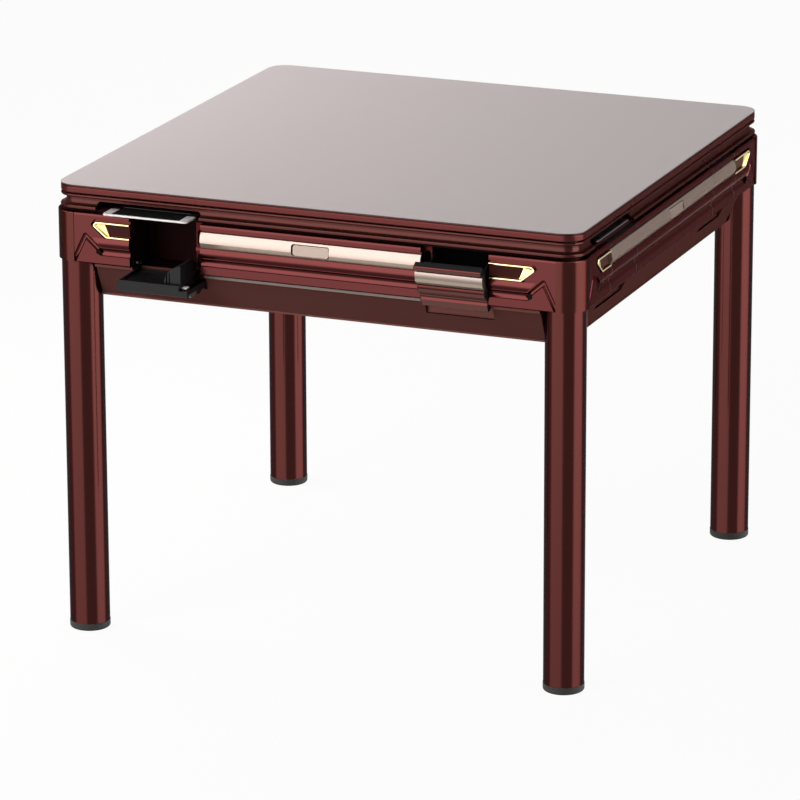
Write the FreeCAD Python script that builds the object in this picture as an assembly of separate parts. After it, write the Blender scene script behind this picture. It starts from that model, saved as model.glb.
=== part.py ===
"""Four-leg mahjong table with a lift-off dining cover, tilting drawers and fold-down cup holders.

Millimetres, +Z up. Each side is drawn as the front one, which faces -Y, and turned about Z for
the other three. `d` is a distance from the table's axis towards the side that is drawn, so a
point at d lies at y = -d. The origin is on the floor under the middle of the bounding box,
which the two open parts of the front side push forward of the table's axis.
"""
import FreeCAD, Part
import math
import os

V = FreeCAD.Vector

# ---- the whole table -------------------------------------------------------------------------
top_z = 804.0              # top of the dining cover
cover_inset = 6.0          # outer face of a post to the cover's straight edge
corner_r = 35.0            # plan radius of the cover and of the rim below it
body_half = 481.0          # axis to the outer face of a corner post
body_h = 87.5
seam = 0.4                 # gap between two mouldings that butt

# ---- dining cover ----------------------------------------------------------------------------
sheet_h = 2.0
sheet_edge_r = 0.8
board_h = 13.0
rebate_h = 2.0             # undercut below the sheet
rebate_depth = 3.0
board_edge_r = 2.0
gasket_h = 1.8
gasket_w = 20.0
gasket_inset = 9.0

# ---- rim with bead, cove and lip -------------------------------------------------------------
rim_h = 25.2
rim_w = 75.0
bead_h = 5.2
cove_r = 9.5
lip_h = 5.5
lip_proud = 1.0
rim_edge_r = 1.4

# ---- play surface ----------------------------------------------------------------------------
play_board_h = 10.0
cloth_h = 1.5
play_gap = 0.3
tile_slot_inset = 55.0     # inner face of the rim to the middle of a tile slot
tile_slot_end = 116.5      # end of a tile slot to the line of the next side's slot
tile_slot_w = 25.0

# ---- side panels -----------------------------------------------------------------------------
face_inset = 1.0           # outer face of a post to the plain face of a panel
panel_t = 13.0
post_w = 44.0
post_r = 43.0
post_top_r = 2.0
rail_band_h = 9.0          # band above the strip
rail_edge_r = 4.0
strip_gap_h = 4.5          # dark groove above the strip
strip_h = 27.0
strip_seat_depth = 6.0     # plain face to the seat behind a strip
strip_edge_t = 4.0
strip_crown = 5.0
strip_facet_h = 9.5        # the strip's lower facet, below its crease
strip_bow = 1.5            # how far the face above the crease bows out of its chord
bulge_h = 16.2
bulge_proud = 2.5
flute_h = 13.8             # concave groove below the bulge
flute_depth = 4.0
flute_top_gap = 1.0
bottom_edge_r = 1.5
vee_w = 9.0                # the groove that climbs to a point near each post
vee_depth = 3.5
vee_start_inset = 51.0     # end of the panel to where the groove starts to climb
vee_apex_inset = 21.5
vee_apex_drop = 39.0
vee_end_out = 1.5
vee_end_rise = 1.0
dot_r = 2.8
dot_depth = 8.0

# ---- openings, doors and their hinges --------------------------------------------------------
cup_opening_inset = 103.5  # post to the opening
cup_opening_w = 132.0
drawer_opening_inset = 118.0
drawer_opening_w = 121.0
door_gap = 0.8
door_bottom_gap = 0.6
door_edge_r = 2.5
hinge_inset = 17.0         # back of a panel to the hinge
hinge_rise = 1.0
cup_open_deg = 90.0
edging_skin = 3.0          # face in front of the black cap on a door's top end
edging_h = 3.0
edging_t = 1.2
drawer_open_deg = 27.0
pin_r = 2.0
pin_clearance = 0.05
arm_t = 3.5
arm_r = 4.5
arm_height = 30.0
liner_side_gap = 4.0       # door edge to liner, on the side away from the catch plate
catch_w = 15.5
catch_t = 3.0
catch_inset = 4.0
catch_clearance = 1.5
slot_r = 5.4

# ---- cup tray --------------------------------------------------------------------------------
tray_t = 4.0
tray_rim_h = 5.0
tray_rim_w = 2.5
tray_bottom_gap = 3.0
cup_r = 37.0
cup_ring_w = 2.0
cup_ring_h = 1.0
cup_gap = 3.0
guard_r = 38.0             # quarter-round guard beside the cup
guard_inset = 6.5          # the guard's centre lies this far beyond the liner
guard_length = 55.0
guard_top_gap = 8.0        # liner top to the guard's end
guard_slot_w = 2.2
guard_slot_pitch = 5.0
guard_slot_depth = 3.0
guard_slot_h = 24.0
guard_slots = 2

# ---- drawer bin ------------------------------------------------------------------------------
bin_depth = 59.0
bin_bottom_rise = 9.0
bin_top_drop = 16.5
bin_wall = 2.0
bin_edge_r = 6.0

# ---- end trims -------------------------------------------------------------------------------
trim_tip_inset = 32.0      # post to the trim's tip
trim_shoulder_back = 8.0
trim_tip_drop = 6.0
trim_heel_back = 26.0
trim_arm_w = 3.8
trim_window_top_back = 25.0
trim_window_heel_back = 36.0
trim_t = 8.0
trim_edge_r = 1.2
trim_tip_r = 4.0
inlay_t = 3.0
inlay_gap = 0.3
trim_play = 1.2            # recess round the trim

# ---- call button -----------------------------------------------------------------------------
button_w = 68.0
button_h = 20.0
button_r = 4.0
button_gap = 0.3
button_back_gap = 1.0      # back of the panel to the back of the cap
button_flange = 2.0        # how far the flange reaches past the cap
button_flange_t = 2.0
button_proud_loss = 0.8    # the cap stands this much below the strip
button_travel = 2.5
switch_w = 20.0
switch_h = 10.0
switch_t = 5.0
bracket_w = 90.0
bracket_h = 16.0
bracket_t = 1.5

# ---- slide-out shelf -------------------------------------------------------------------------
slot_inset = 83.0          # outer face of a post to the slot's end
slot_w = 192.0
slot_top_drop = 11.0       # rim top to the roof of the slot
slot_depth = 67.0
slot_corner_r = 6.0
shelf_end_gap = 27.5
shelf_w = 157.0
shelf_depth = 57.0
shelf_h = 5.2
shelf_edge_r = 0.8
shelf_bar_w = 13.0
shelf_r = 6.0
shelf_inset = 5.0
shelf_travel = 38.0
shelf_pan_t = 1.6
shelf_pan_drop = 2.5
runner_h = 0.4
runner_w = 8.0
runner_gap = 0.1

# ---- chassis ---------------------------------------------------------------------------------
deck_h = 4.5
deck_inset = 7.0           # cover's edge to the deck's
room_depth = 71.0          # back of a panel to the inner wall
wall_t = 4.0
rib_t = 3.0
rib_gap = 1.0              # opening edge to rib
guide_end_gap = 78.5       # end of a tile slot to the lift's rod
guide_w = 40.0
guide_h = 20.0
guide_rise = 20.0
guide_reach = 15.0         # how far a guide block reaches past its rod

# ---- belly pan -------------------------------------------------------------------------------
belly_gap = 4.0            # body to belly pan
belly_flange_h = 4.5
belly_flange_inset = 12.0  # plain face of a panel to the flange's edge
belly_flange_w = 80.0
belly_flange_proud = 5.0
belly_taper = 26.5
belly_h = 61.4
belly_wall = 2.5
belly_bead_h = 3.4
belly_bead_proud = 2.0
belly_leg_gap = 1.5        # the pan is cut back round each leg
notch_depth = 28.0
notch_back_gap = 2.0       # hinge to the back of a notch
notch_side_gap = 0.5

# ---- legs ------------------------------------------------------------------------------------
leg_d = 70.0
leg_wall = 2.5
leg_inset = 40.0           # outer face of a post to the middle of the leg
leg_plate_h = 5.0
foot_proud = 0.5           # how far a foot cap stands out from its leg
foot_h = 13.5
foot_edge_r = 4.0
foot_spigot_h = 20.0
foot_spigot_gap = 0.2
bolt_edge = 17.5           # inside of the tube to the line of the bolts
bolt_r = 3.0
bolt_head_af = 9.0
bolt_head_h = 4.0

# ---- mixing drum, motor, lifts and console ---------------------------------------------------
drum_gap = 55.0            # line of the lift rods to the drum
drum_rise = 30.0
drum_floor_t = 6.0
drum_wall_t = 5.0
drum_wall_h = 39.0
drum_hub_r = 60.0
drum_hub_h = 34.0
paddle_count = 6
paddle_t = 6.0
paddle_h = 14.0
shaft_r = 10.0
shaft_gap = 0.05
shaft_length = 39.0
shaft_end_gap = 1.0
motor_side = 120.0
motor_gap = 10.0
motor_can_r = 45.0
lift_drop = 28.0           # lift plate, from the cloth's top at rest
lift_plate_t = 4.5
lift_gap = 0.4
lift_rod_r = 5.0
lift_rod_gap = 0.05
lift_frame_drop = 14.0     # top of the belly pan to the frame's underside
lift_frame_h = 8.0
console_r = 80.0
console_gap = 0.4
console_flange_r = 88.0
console_flange_h = 4.5
console_drop = 14.0
dish_r = 60.0
dish_depth = 8.0
dome_r = 62.0
dome_top_gap = 1.7
dome_t = 1.5
die_side = 10.0
die_r = 1.2
die_spread = 12.0

# ---- worked out ------------------------------------------------------------------------------
cover_half = body_half - cover_inset
sheet_z = top_z - sheet_h
cover_bottom_z = sheet_z - board_h
rim_top_z = cover_bottom_z - gasket_h
rim_bottom_z = rim_top_z - rim_h
deck_top_z = rim_bottom_z
body_top_z = deck_top_z - deck_h
body_bottom_z = body_top_z - body_h
rim_inner_half = cover_half - rim_w
play_z = deck_top_z + play_board_h
cloth_top_z = play_z + cloth_h
tile_slot_d = rim_inner_half - tile_slot_inset
tile_slot_length = 2 * (tile_slot_d - tile_slot_end)
face_d = body_half - face_inset
panel_back_d = face_d - panel_t
panel_end_x = body_half - post_w
strip_seat_d = face_d - strip_seat_depth
strip_edge_d = strip_seat_d + strip_edge_t
strip_face_d = strip_edge_d + strip_crown
strip_top_z = body_top_z - rail_band_h - strip_gap_h
strip_bottom_z = strip_top_z - strip_h
seat_top_z = strip_top_z + strip_gap_h
bulge_top_z = strip_bottom_z - flute_top_gap
bulge_bottom_z = bulge_top_z - bulge_h
flute_top_z = bulge_bottom_z - flute_top_gap
flute_mid_z = flute_top_z - flute_h / 2
vee_start_x = panel_end_x - vee_start_inset
vee_apex = (panel_end_x - vee_apex_inset, body_top_z - vee_apex_drop)
vee_end = (panel_end_x + vee_end_out, body_bottom_z + vee_end_rise)
cup_opening = (cup_opening_inset - panel_end_x, cup_opening_inset - panel_end_x + cup_opening_w)
drawer_opening = (panel_end_x - drawer_opening_inset - drawer_opening_w, panel_end_x - drawer_opening_inset)
door_top_z = body_top_z - door_gap
door_bottom_z = body_bottom_z + door_bottom_gap
hinge_d = panel_back_d - hinge_inset
hinge_z = body_bottom_z + hinge_rise
catch_d = panel_back_d - catch_inset
bin_bottom_z = body_bottom_z + bin_bottom_rise
bin_top_z = body_top_z - bin_top_drop
trim_tip_x = panel_end_x - trim_tip_inset
trim_shoulder_x = trim_tip_x - trim_shoulder_back
trim_heel_x = trim_tip_x - trim_heel_back
trim_window_top_x = trim_tip_x - trim_window_top_back
trim_window_heel_x = trim_tip_x - trim_window_heel_back
trim_face_d = strip_seat_d + trim_t
button_back_d = panel_back_d + button_back_gap
slot_x = (slot_inset - body_half, slot_inset - body_half + slot_w)
slot_top_z = rim_top_z - slot_top_drop
slot_depth_d = cover_half - slot_depth
shelf_x = (slot_x[0] + shelf_end_gap, slot_x[0] + shelf_end_gap + shelf_w)
shelf_closed_d = cover_half - shelf_inset
shelf_z = deck_top_z + runner_h + runner_gap
deck_half = cover_half - deck_inset
wall_d = panel_back_d - room_depth
guide_x = tile_slot_length / 2 - guide_end_gap
guide_z = body_bottom_z + guide_rise
guide_reach_d = tile_slot_d - guide_reach
belly_top_z = body_bottom_z - belly_gap
belly_flange_half = face_d - belly_flange_inset
belly_flange_inner = belly_flange_half - belly_flange_w
belly_top_half = belly_flange_half - belly_flange_proud
belly_bottom_half = belly_top_half - belly_taper
belly_bottom_z = belly_top_z - belly_h
belly_floor_z = belly_bottom_z + belly_wall
notch_floor_z = belly_top_z - notch_depth
notch_back_d = hinge_d - notch_back_gap
leg_centre = body_half - leg_inset
leg_top_z = body_bottom_z - leg_plate_h
foot_d = leg_d + 2 * foot_proud
belly_corner = leg_centre - leg_d / 2 - belly_leg_gap
bolt_spread = leg_d / 2 - leg_wall - bolt_edge
drum_r = tile_slot_d - drum_gap
drum_floor_z = body_bottom_z + drum_rise
motor_top_z = drum_floor_z - motor_gap
lift_frame_z = belly_top_z - lift_frame_drop
console_bottom_z = deck_top_z - console_drop
front_reach = hinge_d + door_top_z - hinge_z
axis_y = (front_reach - strip_face_d) / 2

SIDES = ("front", "right", "back", "left")


# ---- drawing helpers -------------------------------------------------------------------------
def box(x0, x1, d0, d1, z0, z1):
    """A block between two distances d0 > d1 from the axis."""
    return Part.makeBox(x1 - x0, d0 - d1, z1 - z0, V(x0, -d0, z0))


def profile(start, moves, x0, x1):
    """Extrude a (d, z) outline from x0 to x1; a move is a line's end or an arc's middle and end."""
    def at(point):
        return V(x0, -point[0], point[1])
    edges = []
    here = start
    for move in moves + [(start,)]:
        if len(move) == 1:
            edges.append(Part.makeLine(at(here), at(move[0])))
        else:
            edges.append(Part.Arc(at(here), at(move[0]), at(move[1])).toShape())
        here = move[-1]
    return Part.Face(Part.Wire(edges)).extrude(V(x1 - x0, 0, 0))


def rounded_wire(points, radii, at):
    """A closed outline of straight runs whose corners have the given radii."""
    count = len(points)
    ends = []
    for i, (px, py) in enumerate(points):
        before = points[i - 1]
        after = points[(i + 1) % count]
        ux, uy = before[0] - px, before[1] - py
        wx, wy = after[0] - px, after[1] - py
        ul, wl = math.hypot(ux, uy), math.hypot(wx, wy)
        ux, uy, wx, wy = ux / ul, uy / ul, wx / wl, wy / wl
        if radii[i] == 0:
            ends.append(((px, py), None, (px, py)))
            continue
        half = math.acos(max(-1.0, min(1.0, ux * wx + uy * wy))) / 2
        run = radii[i] / math.tan(half)
        mx, my = ux + wx, uy + wy
        ml = math.hypot(mx, my)
        reach = radii[i] / math.sin(half) - radii[i]
        middle = (px + mx / ml * reach, py + my / ml * reach)
        ends.append(((px + ux * run, py + uy * run), middle, (px + wx * run, py + wy * run)))
    edges = []
    for i, (first, middle, last) in enumerate(ends):
        if middle:
            edges.append(Part.Arc(at(first), at(middle), at(last)).toShape())
        edges.append(Part.makeLine(at(last), at(ends[(i + 1) % count][0])))
    return Part.Wire(edges)


def plate_xz(points, radii, d0, d1):
    """A plate drawn as (x, z) points and lying between two distances d0 > d1."""
    wire = rounded_wire(points, radii, lambda p: V(p[0], -d0, p[1]))
    return Part.Face(wire).extrude(V(0, d0 - d1, 0))


def plate_xy(points, radii, z0, z1):
    wire = rounded_wire(points, radii, lambda p: V(p[0], p[1], z0))
    return Part.Face(wire).extrude(V(0, 0, z1 - z0))


def square(half, radius, z0, z1):
    points = [(-half, -half), (half, -half), (half, half), (-half, half)]
    return plate_xy(points, [radius] * 4, z0, z1)


def rectangle_xz(x0, x1, z0, z1, radius, d0, d1):
    points = [(x0, z0), (x1, z0), (x1, z1), (x0, z1)]
    return plate_xz(points, [radius] * 4, d0, d1)


def edges_at(shape, test):
    """Edges whose middle passes the test."""
    return [edge for edge in shape.Edges if test(edge.CenterOfMass, edge)]


def turned(shape, side):
    """A copy of a front-side shape on the given side."""
    copy = shape.copy()
    copy.rotate(V(0, 0, 0), V(0, 0, 1), 90 * side)
    return copy


def all_sides(*shapes):
    return [turned(shape, side) for side in range(4) for shape in shapes]


def swung(shape, degrees):
    """A front-side shape turned outwards about the door hinge."""
    copy = shape.copy()
    copy.rotate(V(0, -hinge_d, hinge_z), V(1, 0, 0), degrees)
    return copy


def save(name, shapes):
    """Write one node; its shapes are drawn about the table's axis."""
    if not isinstance(shapes, list):
        shapes = [shapes]
    solids = [solid for shape in shapes for solid in shape.Solids]
    node = Part.makeCompound(solids) if len(solids) > 1 else solids[0]
    node = node.copy()
    node.translate(V(0, axis_y, 0))
    node.exportStep(os.path.join("parts", name + ".step"))


# ---- dining cover ----------------------------------------------------------------------------
def top_sheet():
    sheet = square(cover_half, corner_r, sheet_z, top_z)
    top_edges = edges_at(sheet, lambda c, e: abs(c.z - top_z) < sheet_h / 100)
    return sheet.makeFillet(sheet_edge_r, top_edges)


def cover_board():
    neck_z = sheet_z - rebate_h
    board = square(cover_half, corner_r, cover_bottom_z, neck_z)
    rims = edges_at(board, lambda c, e: e.BoundBox.ZLength < rebate_h)
    board = board.makeFillet(board_edge_r, rims)
    neck = square(cover_half - rebate_depth, corner_r - rebate_depth, neck_z, sheet_z)
    return board.fuse(neck).removeSplitter()


def cover_gasket():
    outer = cover_half - gasket_inset
    strip = box(-outer, outer - gasket_w, outer, outer - gasket_w, rim_top_z, cover_bottom_z)
    return all_sides(strip)


# ---- rim -------------------------------------------------------------------------------------
def rim_moves(inner):
    """The moulded outer edge of the rim, from its inner bottom corner round to its inner top."""
    bead_mid_z = rim_top_z - bead_h / 2
    bead_d = cover_half - bead_h / 2
    lip_d = cover_half + lip_proud
    lip_top_z = rim_bottom_z + lip_h
    cove_top_z = lip_top_z + cove_r
    cove_d = cover_half - cove_r
    bend = cove_r * (1 - math.sqrt(0.5))
    start = (inner, rim_bottom_z)
    moves = [((lip_d - rim_edge_r, rim_bottom_z),),
             ((lip_d, rim_bottom_z + rim_edge_r),),
             ((lip_d, lip_top_z - rim_edge_r),),
             ((cover_half, lip_top_z),),
             ((cove_d + bend, lip_top_z + bend), (cove_d, cove_top_z)),
             ((cove_d, rim_top_z - bead_h),),
             ((bead_d, rim_top_z - bead_h),),
             ((cover_half, bead_mid_z), (bead_d, rim_top_z)),
             ((inner, rim_top_z),)]
    return start, moves


def rim_corner(inner):
    """The moulded edge turned round one corner of the rim."""
    start, moves = rim_moves(inner)
    thin = profile(start, moves, 0, corner_r / 10)
    face = [f for f in thin.Faces if abs(f.CenterOfMass.x) < corner_r / 1000][0]
    face = face.copy()
    face.translate(V(inner, 0, 0))
    return face.revolve(V(inner, -inner, 0), V(0, 0, 1), 90)


def slot_cutter():
    """The room of the slide-out shelf, open to the front and below."""
    x0, x1 = slot_x
    points = [(x0, rim_bottom_z - lip_h), (x1, rim_bottom_z - lip_h), (x1, slot_top_z), (x0, slot_top_z)]
    radii = [0, 0, slot_corner_r, slot_corner_r]
    return plate_xz(points, radii, cover_half + 2 * lip_h, slot_depth_d)


def rim_rails():
    """Four rails, mitred at the corners."""
    inner = cover_half - corner_r
    start, moves = rim_moves(inner)
    edge = profile(start, moves, -inner, inner)
    slab = box(-inner, inner, inner, rim_inner_half, rim_bottom_z, rim_top_z)
    ring = edge.fuse([slab, rim_corner(inner), turned(rim_corner(inner), 3)])
    far = cover_half + corner_r
    wedge = plate_xy([(0, 0), (-far, -far), (far, -far)], [0, 0, 0], rim_bottom_z - 1, rim_top_z + 1)
    rail = ring.common(wedge).cut(slot_cutter())
    return all_sides(rail.removeSplitter())


# ---- play surface ----------------------------------------------------------------------------
def play_sheet(z0, z1):
    sheet = square(rim_inner_half - play_gap, play_gap, z0, z1)
    hole = Part.makeCylinder(console_r + console_gap, z1 - z0, V(0, 0, z0))
    half = tile_slot_length / 2
    low = tile_slot_d - tile_slot_w / 2
    slot = box(-half, half, low + tile_slot_w, low, z0, z1)
    return sheet.cut([hole] + all_sides(slot))


# ---- side panels -----------------------------------------------------------------------------
def moulded_moves(top, edge_r, seat_d):
    """The moulded face from the bottom up: flat, flute, bulge, strip seat and top band."""
    crown = edge_r * (1 - math.sqrt(0.5))
    flute_bottom_z = flute_top_z - flute_h
    return [((face_d, flute_bottom_z),),
            ((face_d - flute_depth, flute_mid_z), (face_d, flute_top_z)),
            ((face_d, bulge_bottom_z),),
            ((face_d + bulge_proud, bulge_bottom_z + bulge_h / 2), (face_d, bulge_top_z)),
            ((face_d, strip_bottom_z),),
            ((seat_d, strip_bottom_z),),
            ((seat_d, seat_top_z),),
            ((face_d, seat_top_z),),
            ((face_d, top - edge_r),),
            ((face_d - crown, top - crown), (face_d - edge_r, top)),
            ((panel_back_d, top),)]


def moulding(x0, x1, bottom, top, edge_r):
    start = (panel_back_d, bottom)
    moves = [((face_d - bottom_edge_r, bottom),), ((face_d, bottom + bottom_edge_r),)]
    return profile(start, moves + moulded_moves(top, edge_r, strip_seat_d), x0, x1)


def panel_centre():
    """The middle of a panel, between its two openings, with the call button's hole."""
    panel = moulding(cup_opening[1], drawer_opening[0], body_bottom_z, body_top_z, rail_edge_r)
    reach = button_flange + button_gap
    hole = button_room(reach, strip_face_d, panel_back_d)
    return panel.cut(hole)


def button_room(grow, d0, d1):
    half_w = button_w / 2 + grow
    mid_z = (strip_top_z + strip_bottom_z) / 2
    half_h = button_h / 2 + grow
    return rectangle_xz(-half_w, half_w, mid_z - half_h, mid_z + half_h, button_r, d0, d1)


def trim_outline(edge_x, grow):
    """Outer outline of an end trim, drawn on the +x end, as points and corner radii."""
    top = strip_top_z + grow
    bottom = strip_bottom_z - grow
    points = [(edge_x, bottom), (trim_heel_x + grow, bottom),
              (trim_tip_x + grow, strip_top_z - trim_tip_drop), (trim_shoulder_x + grow, top), (edge_x, top)]
    return points, [0, trim_tip_r, trim_tip_r, trim_tip_r, 0]


def groove_run(start, end, width, depth):
    """A round-bottomed groove with ball ends, to be cut into a panel's plain face."""
    radius = (width * width / 4 + depth * depth) / (2 * depth)
    centre_d = face_d + radius - depth
    a = V(start[0], -centre_d, start[1])
    b = V(end[0], -centre_d, end[1])
    rod = Part.makeCylinder(radius, (b - a).Length, a, b - a)
    return [rod, Part.makeSphere(radius, b)]


def panel_end(edge_x):
    """The end of a panel beside a post, drawn on the +x end from the opening's edge."""
    end_x = panel_end_x - seam
    start = (panel_back_d, body_bottom_z)
    crown = rail_edge_r * (1 - math.sqrt(0.5))
    moves = [((face_d - bottom_edge_r, body_bottom_z),),
             ((face_d, body_bottom_z + bottom_edge_r),),
             ((face_d, body_top_z - rail_edge_r),),
             ((face_d - crown, body_top_z - crown), (face_d - rail_edge_r, body_top_z)),
             ((panel_back_d, body_top_z),)]
    plain = profile(start, moves, edge_x, end_x)
    bulge = profile((face_d, bulge_bottom_z),
                    [((face_d + bulge_proud, bulge_bottom_z + bulge_h / 2), (face_d, bulge_top_z))],
                    edge_x, vee_apex[0])
    slope = [(edge_x, bulge_bottom_z), (vee_start_x, bulge_bottom_z),
             (vee_start_x + bulge_h, bulge_top_z), (edge_x, bulge_top_z)]
    bulge = bulge.common(plate_xz(slope, [0] * 4, strip_face_d, face_d - bulge_proud))
    panel = plain.fuse(bulge)
    points, radii = trim_outline(edge_x, trim_play)
    points[-1] = (edge_x, seat_top_z)
    points[-2] = (points[-2][0], seat_top_z)
    cuts = [plate_xz(points, radii, strip_face_d + trim_play, strip_seat_d)]
    turn = (vee_start_x, flute_mid_z)
    cuts += groove_run((edge_x - 1, flute_mid_z), turn, flute_h, flute_depth)
    cuts += groove_run(turn, vee_apex, vee_w, vee_depth)
    cuts += groove_run(vee_apex, vee_end, vee_w, vee_depth)
    cuts.append(Part.makeCylinder(dot_r, dot_depth, V(vee_start_x, -face_d, flute_mid_z), V(0, 1, 0)))
    return panel.cut(cuts)


def mirrored(shape):
    return shape.mirror(V(0, 0, 0), V(1, 0, 0))


def side_panel():
    """Three mouldings of one side: the centre and the two ends beyond the openings."""
    return [mirrored(panel_end(-cup_opening[0])), panel_centre(), panel_end(drawer_opening[1])]


def corner_post():
    low = panel_end_x
    points = [(low, -body_half), (body_half, -body_half), (body_half, -low), (low, -low)]
    post = plate_xy(points, [0, post_r, 0, 0], body_bottom_z, body_top_z)
    rim = edges_at(post, lambda c, e: abs(c.z - body_top_z) < seam and math.hypot(c.x, c.y) > low * 1.43)
    return post.makeFillet(post_top_r, rim)


# ---- strips, trims and the call button -------------------------------------------------------
def strip(x0, x1):
    """A bright strip: a facet that faces down, a crease, and a bowed face above it."""
    crease_z = strip_bottom_z + strip_facet_h
    bow = ((strip_face_d + strip_edge_d) / 2 + strip_bow, (crease_z + strip_top_z) / 2)
    return profile((strip_seat_d, strip_bottom_z),
                   [((strip_edge_d, strip_bottom_z),),
                    ((strip_face_d, crease_z),),
                    (bow, (strip_edge_d, strip_top_z)),
                    ((strip_seat_d, strip_top_z),)], x0, x1)


def fixed_strip():
    whole = strip(cup_opening[1], drawer_opening[0])
    return whole.cut(button_room(button_gap, strip_face_d + 1, strip_seat_d - 1))


def end_trim(edge_x):
    """The C-shaped bright trim round the end of the strip's seat."""
    points, radii = trim_outline(edge_x, 0)
    plate = plate_xz(points, radii, trim_face_d, strip_seat_d)
    front = edges_at(plate, lambda c, e: abs(c.y + trim_face_d) < seam and c.x > edge_x + seam)
    plate = plate.makeChamfer(trim_edge_r, front)
    return plate.cut(trim_window(edge_x, 0, trim_face_d + 1, strip_seat_d - 1))


def trim_window(edge_x, inset, d0, d1):
    """The room inside a trim, open towards the door."""
    low = strip_bottom_z + trim_arm_w + inset
    high = strip_top_z - trim_arm_w - inset
    points = [(edge_x, low), (trim_window_heel_x - inset, low),
              (trim_window_top_x - inset, high), (edge_x, high)]
    return plate_xz(points, [0, 1, 1, 0], d0, d1)


def trim_inlay(edge_x):
    return trim_window(edge_x, inlay_gap, strip_seat_d + inlay_t, strip_seat_d)


def call_button():
    """The push button in the middle of a strip, with the flange that keeps it in."""
    cap = button_room(0, strip_face_d, button_back_d)
    crown = strip(-button_w / 2, button_w / 2)
    crown.translate(V(0, button_proud_loss, 0))
    back = box(-button_w / 2, button_w / 2, strip_seat_d, button_back_d, strip_bottom_z, strip_top_z)
    cap = cap.common(crown.fuse(back))
    flange_d = strip_seat_d - button_gap
    flange = button_room(button_flange, flange_d, flange_d - button_flange_t)
    return cap.fuse(flange).removeSplitter()


def button_switch():
    """The switch behind a button, on a bracket with two feet on the panel's back."""
    mid_z = (strip_top_z + strip_bottom_z) / 2
    plate_d = button_back_d - button_travel - 2 * button_gap - switch_t
    low, high = mid_z - bracket_h / 2, mid_z + bracket_h / 2
    foot_w = (bracket_w - button_w) / 2 - button_flange - button_gap
    plate = box(-bracket_w / 2, bracket_w / 2, plate_d, plate_d - bracket_t, low, high)
    left = box(-bracket_w / 2, -bracket_w / 2 + foot_w, panel_back_d, plate_d, low, high)
    right = box(bracket_w / 2 - foot_w, bracket_w / 2, panel_back_d, plate_d, low, high)
    switch = box(-switch_w / 2, switch_w / 2, plate_d + switch_t, plate_d,
                 mid_z - switch_h / 2, mid_z + switch_h / 2)
    return plate.fuse([left, right, switch]).removeSplitter()


# ---- doors -----------------------------------------------------------------------------------
def door_shell(opening):
    """The moulded face of a door, cut back at its top end and side ends for the edging."""
    x0, x1 = opening[0] + door_gap + edging_t, opening[1] - door_gap - edging_t
    face = moulding(x0, x1, door_bottom_z, door_top_z, door_edge_r)
    return face.cut(box(x0, x1, face_d - edging_skin, panel_back_d, door_top_z - edging_h, door_top_z))


def door_edging(opening):
    """The black cap on a door's top end and the two cheeks on its side ends."""
    x0, x1 = opening[0] + door_gap, opening[1] - door_gap
    cheeks = [moulding(x, x + edging_t, door_bottom_z, door_top_z, door_edge_r) for x in (x0, x1 - edging_t)]
    cap = box(x0 + edging_t, x1 - edging_t, face_d - edging_skin, panel_back_d, door_top_z - edging_h, door_top_z)
    return [cap] + cheeks


def door_strip(opening):
    return strip(opening[0] + door_gap, opening[1] - door_gap)


def liner_span(opening):
    """The x span behind a door that its liner may fill; the catch plate takes the inner side."""
    taken = catch_w + catch_clearance - rib_gap
    if opening[0] < 0:
        return opening[0] + liner_side_gap, opening[1] - taken
    return opening[0] + taken, opening[1] - liner_side_gap


def hinge_arm(x0):
    """A hinge arm from a door's inner face down to the pin."""
    outline = [(hinge_d - arm_r / 2, hinge_z), (hinge_d + arm_r / 2, hinge_z - arm_r / 2),
               (panel_back_d, door_bottom_z + tray_bottom_gap), (panel_back_d, hinge_z + arm_height),
               (panel_back_d - tray_t, hinge_z + arm_height)]
    plate = profile(outline[0], [(point,) for point in outline[1:]], x0, x0 + arm_t)
    eye = Part.makeCylinder(arm_r, arm_t, V(x0, -hinge_d, hinge_z), V(1, 0, 0))
    return plate.fuse(eye)


def with_arms(liner, span):
    """Add both hinge arms to a liner and bore them for the pins."""
    bore = Part.makeCylinder(pin_r + pin_clearance, span[1] - span[0], V(span[0], -hinge_d, hinge_z), V(1, 0, 0))
    whole = liner.fuse([hinge_arm(span[0]), hinge_arm(span[1] - arm_t)])
    return whole.cut(bore).removeSplitter()


def cup_guard(end_x, base_d, high):
    """The quarter-round guard that stands on the tray beside the cup, slotted at its end."""
    centre_x = end_x + guard_inset
    top = high - guard_top_gap
    drum = Part.makeCylinder(guard_r, guard_length, V(centre_x, -base_d, top - guard_length))
    room = box(centre_x - guard_r, end_x, base_d, base_d - guard_r, top - guard_length, top)
    guard = drum.common(room)
    first = centre_x - guard_r + guard_slot_pitch
    slots = [box(first + index * guard_slot_pitch, first + index * guard_slot_pitch + guard_slot_w,
                 base_d - tray_rim_w, base_d - guard_slot_h, top - guard_slot_depth, top)
             for index in range(guard_slots)]
    return guard.cut(slots)


def cup_tray():
    """The liner of a cup door: a shallow tray with a ring for the cup and a guard beside it."""
    span = liner_span(cup_opening)
    low = door_bottom_z + tray_bottom_gap
    high = door_top_z
    base_d = panel_back_d - tray_t
    rim_d = base_d - tray_rim_h
    tray = box(span[0], span[1], panel_back_d, rim_d, low, high)
    hollow = box(span[0] + tray_rim_w, span[1] - tray_rim_w, base_d, rim_d, low + tray_rim_w, high - tray_rim_w)
    at = V(span[0] + tray_rim_w + cup_r + cup_gap, -base_d, high - tray_rim_w - cup_r)
    ring = Part.makeCylinder(cup_r, cup_ring_h, at, V(0, 1, 0))
    ring = ring.cut(Part.makeCylinder(cup_r - cup_ring_w, cup_ring_h, at, V(0, 1, 0)))
    tray = tray.cut(hollow).fuse([ring, cup_guard(span[1], base_d, high)])
    return Part.makeCompound([with_arms(tray, span)] + door_edging(cup_opening))


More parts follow.
